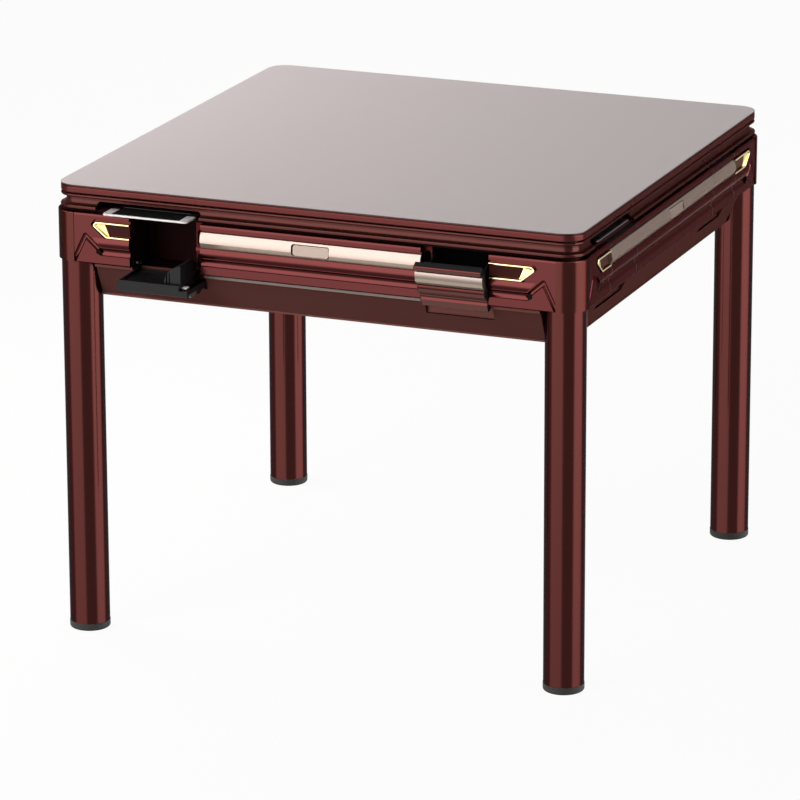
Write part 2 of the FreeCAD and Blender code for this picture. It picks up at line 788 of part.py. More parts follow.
def drawer_bin():
    """The open-topped bin on the back of a drawer front."""
    span = liner_span(drawer_opening)
    back_d = panel_back_d - bin_depth
    outer = box(span[0], span[1], panel_back_d, back_d, bin_bottom_z, bin_top_z)
    low_back = edges_at(outer, lambda c, e: abs(c.y + back_d) < seam and abs(c.z - bin_bottom_z) < seam)
    outer = outer.makeFillet(bin_edge_r, low_back)
    inner = box(span[0] + bin_wall, span[1] - bin_wall, panel_back_d - bin_wall, back_d + bin_wall,
                bin_bottom_z + bin_wall, bin_top_z)
    deep = edges_at(inner, lambda c, e: abs(c.y + back_d + bin_wall) < seam
                    and abs(c.z - bin_bottom_z - bin_wall) < seam)
    inner = inner.makeFillet(bin_edge_r - bin_wall, deep)
    lip = box(span[0], span[1], panel_back_d, panel_back_d - bin_wall, bin_top_z - bin_wall, door_top_z)
    whole = with_arms(outer.cut(inner).fuse(lip), span)
    return Part.makeCompound([whole] + door_edging(drawer_opening))


def rib_spans():
    """The x spans of the chassis ribs on each side of both openings."""
    spans = []
    for opening in (cup_opening, drawer_opening):
        spans.append((opening[0] - rib_gap - rib_t, opening[0] - rib_gap))
        spans.append((opening[1] + rib_gap, opening[1] + rib_gap + rib_t))
    return spans


def hinge_pins():
    """Pins held in the ribs, reaching through the arms of both doors."""
    pins = []
    for opening in (cup_opening, drawer_opening):
        span = liner_span(opening)
        ends = ((opening[0] - rib_gap - rib_t, span[0] + arm_t), (span[1] - arm_t, opening[1] + rib_gap + rib_t))
        for x0, x1 in ends:
            pins.append(Part.makeCylinder(pin_r, x1 - x0, V(x0, -hinge_d, hinge_z), V(1, 0, 0)))
    return pins


def catch_plate(x0, x1, slot_heights):
    """A plate inside an opening with oval holes for the door's catch."""
    plate = box(x0, x1, catch_d, catch_d - catch_t, door_bottom_z + tray_bottom_gap, door_top_z)
    mid_x = (x0 + x1) / 2
    for low, high in slot_heights:
        oval = rectangle_xz(mid_x - slot_r, mid_x + slot_r, low, high, slot_r * 0.999, catch_d, catch_d - catch_t)
        plate = plate.cut(oval)
    return plate


def catch_plates():
    height = door_top_z - door_bottom_z
    tall = [(door_bottom_z + height * 0.09, door_bottom_z + height * 0.39),
            (door_bottom_z + height * 0.53, door_bottom_z + height * 0.86)]
    single = [(door_bottom_z + height * 0.67, door_bottom_z + height * 0.91)]
    cup_edge = cup_opening[1] + rib_gap
    drawer_edge = drawer_opening[0] - rib_gap
    return [catch_plate(cup_edge - catch_w, cup_edge, tall), catch_plate(drawer_edge, drawer_edge + catch_w, single)]


# ---- slide-out shelf -------------------------------------------------------------------------
def shelf():
    """A bright frame with a recessed pan, drawn pushed in."""
    x0, x1 = shelf_x
    back_d = shelf_closed_d - shelf_depth
    points = [(x0, -shelf_closed_d), (x1, -shelf_closed_d), (x1, -back_d), (x0, -back_d)]
    frame = plate_xy(points, [shelf_r, shelf_r, 0, 0], shelf_z, shelf_z + shelf_h)
    top_z = shelf_z + shelf_h
    outer = edges_at(frame, lambda c, e: abs(c.z - top_z) < runner_h and -c.y > back_d + shelf_edge_r)
    frame = frame.makeFillet(shelf_edge_r, outer)
    room = box(x0 + shelf_bar_w, x1 - shelf_bar_w, shelf_closed_d - shelf_bar_w, back_d + shelf_bar_w,
               top_z - shelf_pan_drop, top_z)
    under = box(x0 + shelf_bar_w, x1 - shelf_bar_w, shelf_closed_d - shelf_bar_w, back_d + shelf_bar_w,
                shelf_z, top_z - shelf_pan_drop - shelf_pan_t)
    return frame.cut([room, under])


# ---- chassis ---------------------------------------------------------------------------------
def corner_block():
    low, high = wall_d, panel_back_d
    points = [(low, -high), (panel_end_x, -high), (panel_end_x, -panel_end_x), (high, -panel_end_x),
              (high, -low), (low, -low)]
    return plate_xy(points, [0] * 6, body_bottom_z, body_top_z)


def guide_block(x):
    block = box(x - guide_w / 2, x + guide_w / 2, wall_d - wall_t, guide_reach_d, guide_z, guide_z + guide_h)
    bore = Part.makeCylinder(lift_rod_r + lift_rod_gap, guide_h, V(x, -tile_slot_d, guide_z))
    return block.cut(bore)


def chassis_side():
    """What one side adds to the chassis: inner wall, deck, ribs, corner block, guides and runners."""
    inner = wall_d - wall_t
    wall = box(-wall_d, inner, wall_d, inner, belly_top_z, body_top_z)
    deck = box(-deck_half, inner, deck_half, inner, body_top_z, deck_top_z)
    bore = Part.makeCylinder(pin_r, 2 * wall_d, V(-wall_d, -hinge_d, hinge_z), V(1, 0, 0))
    ribs = [box(x0, x1, panel_back_d, wall_d, belly_top_z, body_top_z).cut(bore) for x0, x1 in rib_spans()]
    runner_d = (deck_half, slot_depth_d)
    runners = [box(x, x + runner_w, runner_d[0], runner_d[1], deck_top_z, deck_top_z + runner_h)
               for x in (shelf_x[0], shelf_x[1] - runner_w)]
    return [wall, deck.fuse(runners), corner_block()] + ribs + [guide_block(-guide_x), guide_block(guide_x)]


# ---- belly pan -------------------------------------------------------------------------------
def frustum(half0, half1, z0, z1):
    """A square block that widens from half0 at z0 to half1 at z1."""
    def ring(half, z):
        corners = [V(-half, -half, z), V(half, -half, z), V(half, half, z), V(-half, half, z)]
        return Part.makePolygon(corners + corners[:1])
    return Part.makeLoft([ring(half0, z0), ring(half1, z1)], True, True)


def notch(opening, grow, top):
    return box(opening[0] - notch_side_gap - grow, opening[1] + notch_side_gap + grow,
               belly_flange_half + grow, notch_back_d - grow, notch_floor_z - grow, top)


def belly_pan():
    """The tapered lower housing, cut back at the legs and notched below each door."""
    flange_z = belly_top_z - belly_flange_h
    slope = (belly_top_half - belly_bottom_half) / (flange_z - belly_bottom_z)
    body = frustum(belly_bottom_half, belly_top_half, belly_bottom_z, flange_z)
    bead = square(belly_bottom_half + belly_bead_proud, belly_bead_proud, belly_bottom_z,
                  belly_bottom_z + belly_bead_h)
    flange = square(belly_flange_half, 2, flange_z, belly_top_z)
    outer = body.fuse([bead, flange])
    far = body_half
    corner = box(belly_corner, far, far, belly_corner, belly_bottom_z, belly_top_z)
    corner_wall = box(belly_corner - belly_wall, far, far, belly_corner - belly_wall, belly_bottom_z, belly_top_z)
    low_half = belly_bottom_half + slope * belly_wall - belly_wall
    room = frustum(low_half, belly_top_half - belly_wall, belly_floor_z, flange_z)
    mouth = square(belly_flange_inner, belly_wall, flange_z, belly_top_z)
    openings = (cup_opening, drawer_opening)
    walls = all_sides(corner_wall, *[notch(opening, belly_wall, belly_top_z) for opening in openings])
    room = room.cut(walls).fuse(mouth)
    cuts = all_sides(corner, *[notch(opening, 0, belly_top_z) for opening in openings])
    return outer.cut([room] + cuts).removeSplitter()


# ---- legs ------------------------------------------------------------------------------------
def bolt_spots():
    return [(leg_centre + sx * bolt_spread, -leg_centre + sy * bolt_spread) for sx in (-1, 1) for sy in (-1, 1)]


def leg():
    """A tube with a disc welded in its top, bolted under the corner of the body from inside the tube."""
    at = V(leg_centre, -leg_centre, foot_h)
    height = leg_top_z - foot_h
    tube = Part.makeCylinder(leg_d / 2, height, at)
    tube = tube.cut(Part.makeCylinder(leg_d / 2 - leg_wall, height, at))
    plate = Part.makeCylinder(leg_d / 2, leg_plate_h, at + V(0, 0, height))
    holes = [Part.makeCylinder(bolt_r, leg_plate_h, V(x, y, leg_top_z)) for x, y in bolt_spots()]
    return plate.cut(holes).fuse(tube)


def foot_cap():
    at = V(leg_centre, -leg_centre, 0)
    disc = Part.makeCylinder(foot_d / 2, foot_h, at)
    sole = edges_at(disc, lambda c, e: abs(c.z) < seam)
    disc = disc.makeFillet(foot_edge_r, sole)
    spigot = Part.makeCylinder(leg_d / 2 - leg_wall - foot_spigot_gap, foot_spigot_h, at + V(0, 0, foot_h))
    return disc.fuse(spigot)


def leg_bolts():
    bolts = []
    for x, y in bolt_spots():
        shank = Part.makeCylinder(bolt_r, leg_plate_h, V(x, y, leg_top_z))
        corner = bolt_head_af / math.sqrt(3)
        ring = [V(x + corner * math.cos(math.radians(60 * k)), y + corner * math.sin(math.radians(60 * k)),
                  leg_top_z - bolt_head_h) for k in range(7)]
        head = Part.Face(Part.makePolygon(ring)).extrude(V(0, 0, bolt_head_h))
        bolts.append(head.fuse(shank))
    return bolts


# ---- the machine inside ----------------------------------------------------------------------
def mixing_drum():
    """The turning tile drum with its hub, paddles and shaft."""
    floor = Part.makeCylinder(drum_r, drum_floor_t, V(0, 0, drum_floor_z))
    floor_top = drum_floor_z + drum_floor_t
    wall = Part.makeCylinder(drum_r, drum_wall_h, V(0, 0, floor_top))
    wall = wall.cut(Part.makeCylinder(drum_r - drum_wall_t, drum_wall_h, V(0, 0, floor_top)))
    hub = Part.makeCylinder(drum_hub_r, drum_hub_h, V(0, 0, floor_top))
    shaft = Part.makeCylinder(shaft_r, shaft_length, V(0, 0, drum_floor_z - shaft_length))
    paddles = []
    for index in range(paddle_count):
        paddle = Part.makeBox(drum_r - drum_wall_t - drum_hub_r + 2, paddle_t, paddle_h,
                              V(drum_hub_r - 1, -paddle_t / 2, floor_top))
        paddle.rotate(V(0, 0, 0), V(0, 0, 1), 360 / paddle_count * index)
        paddles.append(paddle)
    return floor.fuse([wall, hub, shaft] + paddles)


def drum_motor():
    half = motor_side / 2
    gearbox = box(-half, half, half, -half, motor_top_z - motor_side / 4, motor_top_z)
    can = Part.makeCylinder(motor_can_r, motor_top_z - belly_floor_z, V(0, 0, belly_floor_z))
    depth = shaft_length - (drum_floor_z - motor_top_z) + shaft_end_gap
    bore = Part.makeCylinder(shaft_r + shaft_gap, depth, V(0, 0, motor_top_z - depth))
    return gearbox.fuse(can).cut(bore)


def tile_lifts():
    """The plates that raise the four rows of tiles, on guide rods from one square frame."""
    half = tile_slot_length / 2 - lift_gap
    low_d = tile_slot_d - tile_slot_w / 2 + lift_gap
    top = cloth_top_z - lift_drop
    rod_z = lift_frame_z + lift_frame_h
    plate = box(-half, half, low_d + tile_slot_w - 2 * lift_gap, low_d, top - lift_plate_t, top)
    rods = [Part.makeCylinder(lift_rod_r, top - lift_plate_t - rod_z, V(x, -tile_slot_d, rod_z))
            for x in (-guide_x, guide_x)]
    frame = square(tile_slot_d + lift_rod_r, lift_rod_r, lift_frame_z, rod_z)
    frame = frame.cut(square(tile_slot_d - lift_rod_r, lift_rod_r, lift_frame_z, rod_z))
    return frame.fuse(all_sides(plate, *rods))


def console_base():
    drum = Part.makeCylinder(console_r, cloth_top_z - console_bottom_z, V(0, 0, console_bottom_z))
    flange = Part.makeCylinder(console_flange_r, console_flange_h, V(0, 0, cloth_top_z))
    dish = Part.makeCylinder(dish_r, dish_depth, V(0, 0, cloth_top_z + console_flange_h - dish_depth))
    return drum.fuse(flange).cut(dish).removeSplitter()


def dice_dome():
    low = cloth_top_z + console_flange_h
    height = cover_bottom_z - dome_top_gap - low
    ball_r = (dome_r ** 2 + height ** 2) / (2 * height)
    centre = V(0, 0, low + height - ball_r)
    outer = Part.makeSphere(ball_r, centre).cut(Part.makeSphere(ball_r - dome_t, centre))
    return outer.common(Part.makeCylinder(dome_r, height, V(0, 0, low)))


def dice():
    low = cloth_top_z + console_flange_h - dish_depth
    half = die_side / 2
    cubes = []
    for x in (-die_spread, die_spread):
        cube = Part.makeBox(die_side, die_side, die_side, V(x - half, -half, low))
        cubes.append(cube.makeFillet(die_r, cube.Edges))
    return cubes


# ---- write every node ------------------------------------------------------------------------
def write_shared():
    save("top_sheet", top_sheet())
    save("cover_board", cover_board())
    save("cover_gasket", cover_gasket())
    save("rim_rails", rim_rails())
    save("play_board", play_sheet(deck_top_z, play_z))
    save("play_cloth", play_sheet(play_z, cloth_top_z))
    save("chassis_frame", all_sides(*chassis_side()))
    save("corner_posts", all_sides(corner_post()))
    save("belly_pan", belly_pan())
    save("legs", all_sides(leg()))
    save("foot_caps", all_sides(foot_cap()))
    save("leg_bolts", all_sides(*leg_bolts()))
    save("fixed_strips", all_sides(fixed_strip()))
    left_edge, right_edge = -cup_opening[0], drawer_opening[1]
    save("end_trims", all_sides(mirrored(end_trim(left_edge)), end_trim(right_edge)))
    save("trim_inlays", all_sides(mirrored(trim_inlay(left_edge)), trim_inlay(right_edge)))
    save("hinge_pins", all_sides(*hinge_pins()))
    save("catch_plates", all_sides(*catch_plates()))
    save("button_switches", all_sides(button_switch()))


def write_machine():
    save("mixing_drum", mixing_drum())
    save("drum_motor", drum_motor())
    save("tile_lifts", tile_lifts())
    save("console_base", console_base())
    save("dice_dome", dice_dome())
    save("dice", dice())


def write_sides():
    """The nodes of each side; the front one has its cup door, drawer and shelf open."""
    cup_parts = {"cup_door": door_shell(cup_opening), "cup_strip": door_strip(cup_opening),
                 "cup_tray": cup_tray()}
    drawer_parts = {"drawer_face": door_shell(drawer_opening), "drawer_strip": door_strip(drawer_opening),
                    "drawer_bin": drawer_bin()}
    panel = side_panel()
    button = call_button()
    tray = shelf()
    for side, name in enumerate(SIDES):
        is_front = name == "front"
        save("side_panel_" + name, [turned(piece, side) for piece in panel])
        save("call_button_" + name, turned(button, side))
        for part, shape in cup_parts.items():
            save(part + "_" + name, turned(swung(shape, cup_open_deg * is_front), side))
        for part, shape in drawer_parts.items():
            save(part + "_" + name, turned(swung(shape, drawer_open_deg * is_front), side))
        out = tray.copy()
        out.translate(V(0, -shelf_travel * is_front, 0))
        save("shelf_" + name, turned(out, side))


os.makedirs("parts", exist_ok=True)
write_shared()
write_machine()
write_sides()
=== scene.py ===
"""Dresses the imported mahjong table: its finishes, small trim, studio and camera.

Lengths are in metres in the table's own frame: +Z up, with the open side towards -Y. Each side
is drawn as the front one, about the table's upright axis, and is then turned about that axis.
There `x` runs along the side, `d` is the distance in front of the axis and `z` is the height.
"""
from __future__ import annotations

import logging
import math
from collections.abc import Sequence
from dataclasses import dataclass, replace
from enum import Enum

import bmesh
import bpy
from bmesh.types import BMEdge, BMesh
from mathutils import Matrix, Vector


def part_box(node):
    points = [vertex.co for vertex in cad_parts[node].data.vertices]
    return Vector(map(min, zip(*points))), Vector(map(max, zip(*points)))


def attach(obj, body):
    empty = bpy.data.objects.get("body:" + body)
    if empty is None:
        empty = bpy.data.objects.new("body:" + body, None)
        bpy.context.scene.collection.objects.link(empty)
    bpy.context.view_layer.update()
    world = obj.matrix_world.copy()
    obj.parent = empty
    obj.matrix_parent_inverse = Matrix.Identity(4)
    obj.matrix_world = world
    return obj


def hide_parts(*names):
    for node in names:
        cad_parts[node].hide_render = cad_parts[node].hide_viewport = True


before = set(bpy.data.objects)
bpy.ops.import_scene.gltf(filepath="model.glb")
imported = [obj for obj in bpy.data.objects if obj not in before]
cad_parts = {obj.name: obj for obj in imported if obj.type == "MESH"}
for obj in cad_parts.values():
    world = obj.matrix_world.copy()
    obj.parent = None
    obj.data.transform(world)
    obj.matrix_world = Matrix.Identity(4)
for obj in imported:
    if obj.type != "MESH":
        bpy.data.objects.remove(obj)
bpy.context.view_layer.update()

log = logging.getLogger("mahjong_table")

MM = 0.001

Paint = tuple[int, int, int]
Colour = tuple[float, float, float, float]
Span = tuple[float, float]
Outline = Sequence[Span]
Spot = tuple[float, float, float]
Rows = Sequence[Sequence[Vector]]


def srgb(red: int, green: int, blue: int) -> Colour:
    """Turn a display colour into the linear one that shaders take.

    Args:
        red: Red from 0 to 255.
        green: Green from 0 to 255.
        blue: Blue from 0 to 255.

    Returns:
        The linear colour with full alpha.
    """
    def linear(value: int) -> float:
        """One channel, made linear."""
        share = value / 255
        return share / 12.92 if share <= 0.04045 else ((share + 0.055) / 1.055) ** 2.4

    return linear(red), linear(green), linear(blue), 1.0


def scaled(colour: Colour, gain: float) -> Colour:
    """Make a linear colour lighter or darker by a gain."""
    return colour[0] * gain, colour[1] * gain, colour[2] * gain, colour[3]


# ---- shader building ----
class Shade:
    """A node's output that can be reckoned with as a number can."""

    def __init__(self, bench: Bench, socket: bpy.types.NodeSocket) -> None:
        """Wrap one output socket of a bench's tree."""
        self.bench = bench
        self.socket = socket

    def _math(self, operation: str, first: Shade | float, second: Shade | float) -> Shade:
        """Add one Math node and return its result."""
        return self.bench.node("ShaderNodeMath", {"operation": operation}, {0: first, 1: second})

    def __add__(self, other: Shade | float) -> Shade:
        """Self plus other."""
        return self._math("ADD", self, other)

    def __sub__(self, other: Shade | float) -> Shade:
        """Self minus other."""
        return self._math("SUBTRACT", self, other)

    def __rsub__(self, other: float) -> Shade:
        """Other minus self."""
        return self._math("SUBTRACT", other, self)

    def __mul__(self, other: Shade | float) -> Shade:
        """Self times other."""
        return self._math("MULTIPLY", self, other)

    def absolute(self) -> Shade:
        """Self without its sign."""
        return self._math("ABSOLUTE", self, 0.0)

    def largest(self, other: Shade | float) -> Shade:
        """The larger of self and other."""
        return self._math("MAXIMUM", self, other)

    def bearing(self, other: Shade) -> Shade:
        """The angle, in radians, whose sine goes with self and whose cosine with other."""
        return self._math("ARCTAN2", self, other)

    def step(self, low: float, high: float) -> Shade:
        """Rise softly from 0 at low to 1 at high."""
        settings = {"interpolation_type": "SMOOTHSTEP"}
        return self.bench.node("ShaderNodeMapRange", settings, {0: self, 1: low, 2: high})

    def band(self, low: float, high: float, soft: float) -> Shade:
        """1 between low and high and 0 outside, with edges that are 2 * soft wide."""
        return self.step(low - soft, low + soft) * (1 - self.step(high - soft, high + soft))


class Bench:
    """The node tree of one material or world."""

    NOISE_ROUGHNESS = 0.55

    def __init__(self, owner: bpy.types.Material | bpy.types.World) -> None:
        """Empty the owner's tree and keep it."""
        owner.use_nodes = True
        self.tree = owner.node_tree
        self.tree.nodes.clear()

    def node(self, kind: str, settings: dict[str, object] | None = None,
             inputs: dict[str | int, object] | None = None, output: str | int = 0) -> Shade:
        """Add any node.

        Args:
            kind: The node's type name.
            settings: Its properties, set first.
            inputs: A value or a Shade for each named or numbered socket.
            output: Which output to return.

        Returns:
            The chosen output.
        """
        made = self.tree.nodes.new(kind)
        for key, value in (settings or {}).items():
            setattr(made, key, value)
        for key, value in (inputs or {}).items():
            if isinstance(value, Shade):
                self.tree.links.new(value.socket, made.inputs[key])
            else:
                made.inputs[key].default_value = value
        return Shade(self, made.outputs[output])

    def blend(self, share: Shade | float, first: Shade | Colour, second: Shade | Colour) -> Shade:
        """Mix two colours, first at share 0 and second at share 1."""
        inputs = {0: share, 6: first, 7: second}
        return self.node("ShaderNodeMix", {"data_type": "RGBA"}, inputs, 2)

    def place(self, stretch: Spot = (1.0, 1.0, 1.0)) -> Shade:
        """Object coordinates in metres, each axis multiplied by its stretch."""
        spot = self.node("ShaderNodeTexCoord", output="Object")
        return self.node("ShaderNodeMapping", None, {"Vector": spot, "Scale": stretch})

    def noise(self, scale: float, detail: float, stretch: Spot = (1.0, 1.0, 1.0)) -> Shade:
        """Noise from 0 to 1, with features about 1 / scale metres across."""
        inputs = {"Vector": self.place(stretch), "Scale": scale, "Detail": detail,
                  "Roughness": self.NOISE_ROUGHNESS}
        return self.node("ShaderNodeTexNoise", None, inputs)

    def cells(self, scale: float) -> Shade:
        """Distance to the nearest of the points of a cell pattern."""
        return self.node("ShaderNodeTexVoronoi", None, {"Vector": self.place(), "Scale": scale})

    def threads(self, scale: float, way: str) -> Shade:
        """Wavy threads from 0 to 1, side by side along X or Y."""
        inputs = {"Vector": self.place(), "Scale": scale, "Distortion": 1.5, "Detail": 1.0}
        return self.node("ShaderNodeTexWave", {"bands_direction": way}, inputs, 1)

    def part(self, vector: Shade, axis: int) -> Shade:
        """One axis of a vector: 0 for x, 1 for y and 2 for z."""
        return self.node("ShaderNodeSeparateXYZ", None, {0: vector}, axis)

    def upness(self) -> Shade:
        """How far a surface faces up: 1 for a top, 0 for a wall and -1 for an underside."""
        return self.part(self.node("ShaderNodeNewGeometry", output="Normal"), 2)

    def finish_with(self, kind: str, socket: str, surface: Shade) -> None:
        """Add the tree's output node and join the surface to it."""
        output = self.tree.nodes.new(kind)
        self.tree.links.new(surface.socket, output.inputs[socket])

    def bump(self, height: Shade, distance: float) -> Shade:
        """Turn a height from 0 to 1 into a normal, with that many metres of relief."""
        inputs = {"Strength": 1.0, "Distance": distance, "Height": height}
        return self.node("ShaderNodeBump", None, inputs)

    def ray(self, kind: str) -> Shade:
        """1 for one kind of ray: Camera, Glossy or Transmission."""
        return self.node("ShaderNodeLightPath", output=f"Is {kind} Ray")

    def seen_ray(self) -> Shade:
        """1 for rays from the camera and for those seen in gloss or through glass."""
        return self.ray("Camera").largest(self.ray("Glossy")).largest(self.ray("Transmission"))


Recipe = tuple[Shade, Shade, Shade]


class Grain(Enum):
    """How a surface varies over its area.

    Each has a label, how far the roughness falls below the finish's own, and how far it then
    rises again over the grain.
    """

    LAMINATE = ("laminate", 0.05, 0.1)
    LACQUER = ("lacquer", 0.04, 0.08)
    MOULDED = ("moulded", 0.06, 0.12)
    PEARL = ("pearl", 0.04, 0.08)
    POLISHED = ("polished", 0.03, 0.06)
    LEATHERED = ("leathered", 0.1, 0.2)
    BRUSHED = ("brushed", 0.08, 0.16)
    WOVEN = ("woven", 0.0, 0.1)
    TIMBER = ("timber", 0.07, 0.15)
    RUBBERY = ("rubbery", 0.07, 0.15)
    CLEAR = ("clear", 0.03, 0.06)

    def roughen(self, roughness: float, share: Shade) -> Shade:
        """Spread a finish's roughness over a share that goes from 0 to 1."""
        _, fall, rise = self.value
        return share * rise + (roughness - fall)


# Slow changes of tone in each metre, and how far the long grains are stretched
LAMINATE_CLOUDS, PAINT_CLOUDS, MOULDING_CLOUDS, DUST_CLOUDS = 2.2, 14.0, 9.0, 40.0
BRUSHED_STRETCH, TIMBER_STRETCH = 0.05, 0.04
FLAKE_EDGES = (0.15, 0.75)

# How steep a face is where it begins to count as level or as an underside, and where it does
LEVEL_EDGES = (0.5, 0.8)
SOFT_LEVEL_EDGES = (0.3, 0.9)
# Where undersides begin to get their painted light, and where they get it in full
PAINTED_UNDERSIDE_EDGES = (0.2, 0.35)

COAT_ROUGHNESS = 0.06
ACRYLIC_IOR = 1.45
WHITE = (1.0, 1.0, 1.0, 1.0)
# Painted shade for what lies inside a slot
PAINTED_SLOT_SHADE = srgb(26, 12, 11)


@dataclass(frozen=True)
class PaintedLipHighlight:
    """A painted highlight: a pale lip on the walls mid-side, and painted shade on upper faces.

    Attributes:
        colour: Display colour of the painted lip highlight.
        low: Its lowest z.
        high: Its highest z.
        half: How far it runs to either side of the middle.
        ledge_shade: Display colour of the painted shade on faces that look up.
        soft: Half the width of its blurred edges.
    """

    colour: Paint
    low: float
    high: float
    half: float
    ledge_shade: Paint
    soft: float = 0.1 * MM

    def over(self, bench: Bench, colour: Shade) -> Shade:
        """Lay the painted lip highlight and the painted shade on upper faces over a colour."""
        place = bench.place()
        reach = (self.half, self.half + MM)
        wall = 1 - bench.upness().absolute().step(*LEVEL_EDGES)
        across = 1 - bench.part(place, 0).absolute().step(*reach)
        along = 1 - (bench.part(place, 1) - AXIS.y).absolute().step(*reach)
        rise = bench.part(place, 2).band(self.low, self.high, self.soft)
        colour = bench.blend(rise * wall * across.largest(along), colour, srgb(*self.colour))
        return bench.blend(bench.upness().step(*LEVEL_EDGES), colour, srgb(*self.ledge_shade))


@dataclass(frozen=True)
class Finish:
    """One finish of the table, and the recipe of its material.

    Attributes:
        name: The material's name.
        colour: Its display colour.
        grain: How it varies over its area.
        roughness: Its middle roughness.
        metallic: Share of metal.
        coat: Weight of the clear coat.
        level: Level of the gloss.
        wander: Share by which the colour goes to either side.
        relief: Height of the grain in metres.
        scale: Features of the grain in each metre.
        sheen: Tint of the gloss.
        edge: Colour painted on the walls, if any; on the top sheet it is painted shade.
        under: Colour painted on the undersides, if any, as painted light.
        slot_depth: How near the table's axis it lies in painted shade, as inside a slot.
        lip: A painted lip highlight, with painted shade on upper faces, laid over it.
    """

    name: str
    colour: Paint
    grain: Grain
    roughness: float
    metallic: float = 0.0
    coat: float = 0.0
    level: float = 0.5
    wander: float = 0.08
    relief: float = 3e-5
    scale: float = 600.0
    sheen: Paint = (255, 255, 255)
    edge: Paint | None = None
    under: Paint | None = None
    slot_depth: float | None = None
    paintedliphighlight: PaintedLipHighlight | None = None

    def material(self) -> bpy.types.Material:
        """The finish's material, made once."""
        return bpy.data.materials.get(self.name) or self._build()

    def _build(self) -> bpy.types.Material:
        """Make the material's nodes."""
        made = bpy.data.materials.new(self.name)
        bench = Bench(made)
        recipes = {
            Grain.LAMINATE: self._laminate, Grain.LACQUER: self._lacquer,
            Grain.MOULDED: self._moulded, Grain.PEARL: self._pearl,
            Grain.POLISHED: self._polished, Grain.LEATHERED: self._leathered,
            Grain.BRUSHED: self._brushed, Grain.WOVEN: self._woven, Grain.TIMBER: self._timber,
            Grain.RUBBERY: self._rubbery, Grain.CLEAR: self._polished}
        tone, gloss, height = recipes[self.grain](bench)
        base = srgb(*self.colour)
        colour = bench.blend(tone, scaled(base, 1 - self.wander), scaled(base, 1 + self.wander))
        inputs = {"Base Color": self._shaded(bench, colour),
                  "Roughness": self.grain.roughen(self.roughness, gloss),
                  "Metallic": self.metallic, "Coat Weight": self.coat,
                  "Coat Roughness": COAT_ROUGHNESS, "Specular IOR Level": self.level,
                  "Specular Tint": srgb(*self.sheen), "Normal": bench.bump(height, self.relief)}
        if self.grain is Grain.CLEAR:
            inputs["Transmission Weight"] = 1.0
            inputs["IOR"] = ACRYLIC_IOR
        surface = bench.node("ShaderNodeBsdfPrincipled", None, inputs)
        bench.finish_with("ShaderNodeOutputMaterial", "Surface", surface)
        return made

    def _shaded(self, bench: Bench, colour: Shade) -> Shade:
        """Paint light and shade on walls, lip, upper faces, undersides and what is in a slot."""
        # Painted shade: the walls get a darker colour, the dark line under the top's edge.
        if self.edge:
            wall = 1 - bench.upness().absolute().step(*SOFT_LEVEL_EDGES)
            colour = bench.blend(wall, colour, srgb(*self.edge))
        # Painted highlight on the lip, and painted shade on the faces that look up.
        if self.paintedliphighlight:
            colour = self.paintedliphighlight.over(bench, colour)
        # Painted light: faces that turn to the floor get a lighter colour.
        if self.under:
            down = (bench.upness() * -1.0).step(*PAINTED_UNDERSIDE_EDGES)
            colour = bench.blend(down, colour, srgb(*self.under))
        # Painted shade: inside a slot the colour turns dark, by its place in the room.
        if self.slot_depth:
            spot = bench.node("ShaderNodeNewGeometry", output="Position")
            out = bench.part(spot, 0).absolute().largest(
                (bench.part(spot, 1) - AXIS.y).absolute())
            outside = out.step(self.slot_depth - MM, self.slot_depth)
            colour = bench.blend(outside, PAINTED_SLOT_SHADE, colour)
        return colour

    # Each recipe returns three shares from 0 to 1: of the tone, the roughness and the height.
    def _laminate(self, bench: Bench) -> Recipe:
        """A satin laminate with a fine speckle and a cloudy tone."""
        speckle = bench.noise(self.scale, 3.0)
        cloud = bench.noise(LAMINATE_CLOUDS, 3.0)
        return cloud * 0.5 + speckle * 0.5, speckle, speckle

    def _lacquer(self, bench: Bench) -> Recipe:
        """Glossy paint with a slight orange peel and a cloudy tone."""
        peel = bench.noise(self.scale, 1.0)
        cloud = bench.noise(PAINT_CLOUDS, 3.0)
        return cloud, cloud, peel

    def _moulded(self, bench: Bench) -> Recipe:
        """Moulded plastic with a fine even texture."""
        fine = bench.noise(self.scale, 4.0)
        cloud = bench.noise(MOULDING_CLOUDS, 2.0)
        return cloud * 0.6 + fine * 0.4, fine, fine

    def _pearl(self, bench: Bench) -> Recipe:
        """Pearl paint with small bright flakes."""
        flake = bench.cells(self.scale).step(*FLAKE_EDGES)
        return flake, flake, flake

    def _polished(self, bench: Bench) -> Recipe:
        """A bright surface with hardly any texture."""
        haze = bench.noise(self.scale, 2.0)
        return haze, haze, haze

    def _leathered(self, bench: Bench) -> Recipe:
        """A pebbled leather-like grain."""
        pebble = bench.cells(self.scale)
        return pebble, pebble, pebble

    def _brushed(self, bench: Bench) -> Recipe:
        """Metal with fine lines along X and Y."""
        across = bench.noise(self.scale, 3.0, (BRUSHED_STRETCH, 1.0, 1.0))
        along = bench.noise(self.scale, 3.0, (1.0, BRUSHED_STRETCH, 1.0))
        lines = across * 0.5 + along * 0.5
        return lines, lines, lines

    def _woven(self, bench: Bench) -> Recipe:
        """Felted cloth on a fine plain weave."""
        weave = bench.threads(self.scale, "X").largest(bench.threads(self.scale, "Y"))
        fluff = bench.noise(self.scale, 4.0)
        return weave * 0.5 + fluff * 0.5, fluff, weave

    def _timber(self, bench: Bench) -> Recipe:
        """Plain board with long grain along X."""
        grain = bench.noise(self.scale, 5.0, (TIMBER_STRETCH, 1.0, 1.0))
        return grain, grain, grain

    def _rubbery(self, bench: Bench) -> Recipe:
        """Dull rubber with dust in its pores."""
        pores = bench.noise(self.scale, 4.0)
        dust = bench.noise(DUST_CLOUDS, 3.0)
        return dust, pores, pores


WINE_SHEEN = (150, 90, 84)
FACE_SHEEN = (180, 168, 166)
PEARL_SHEEN = (170, 150, 140)
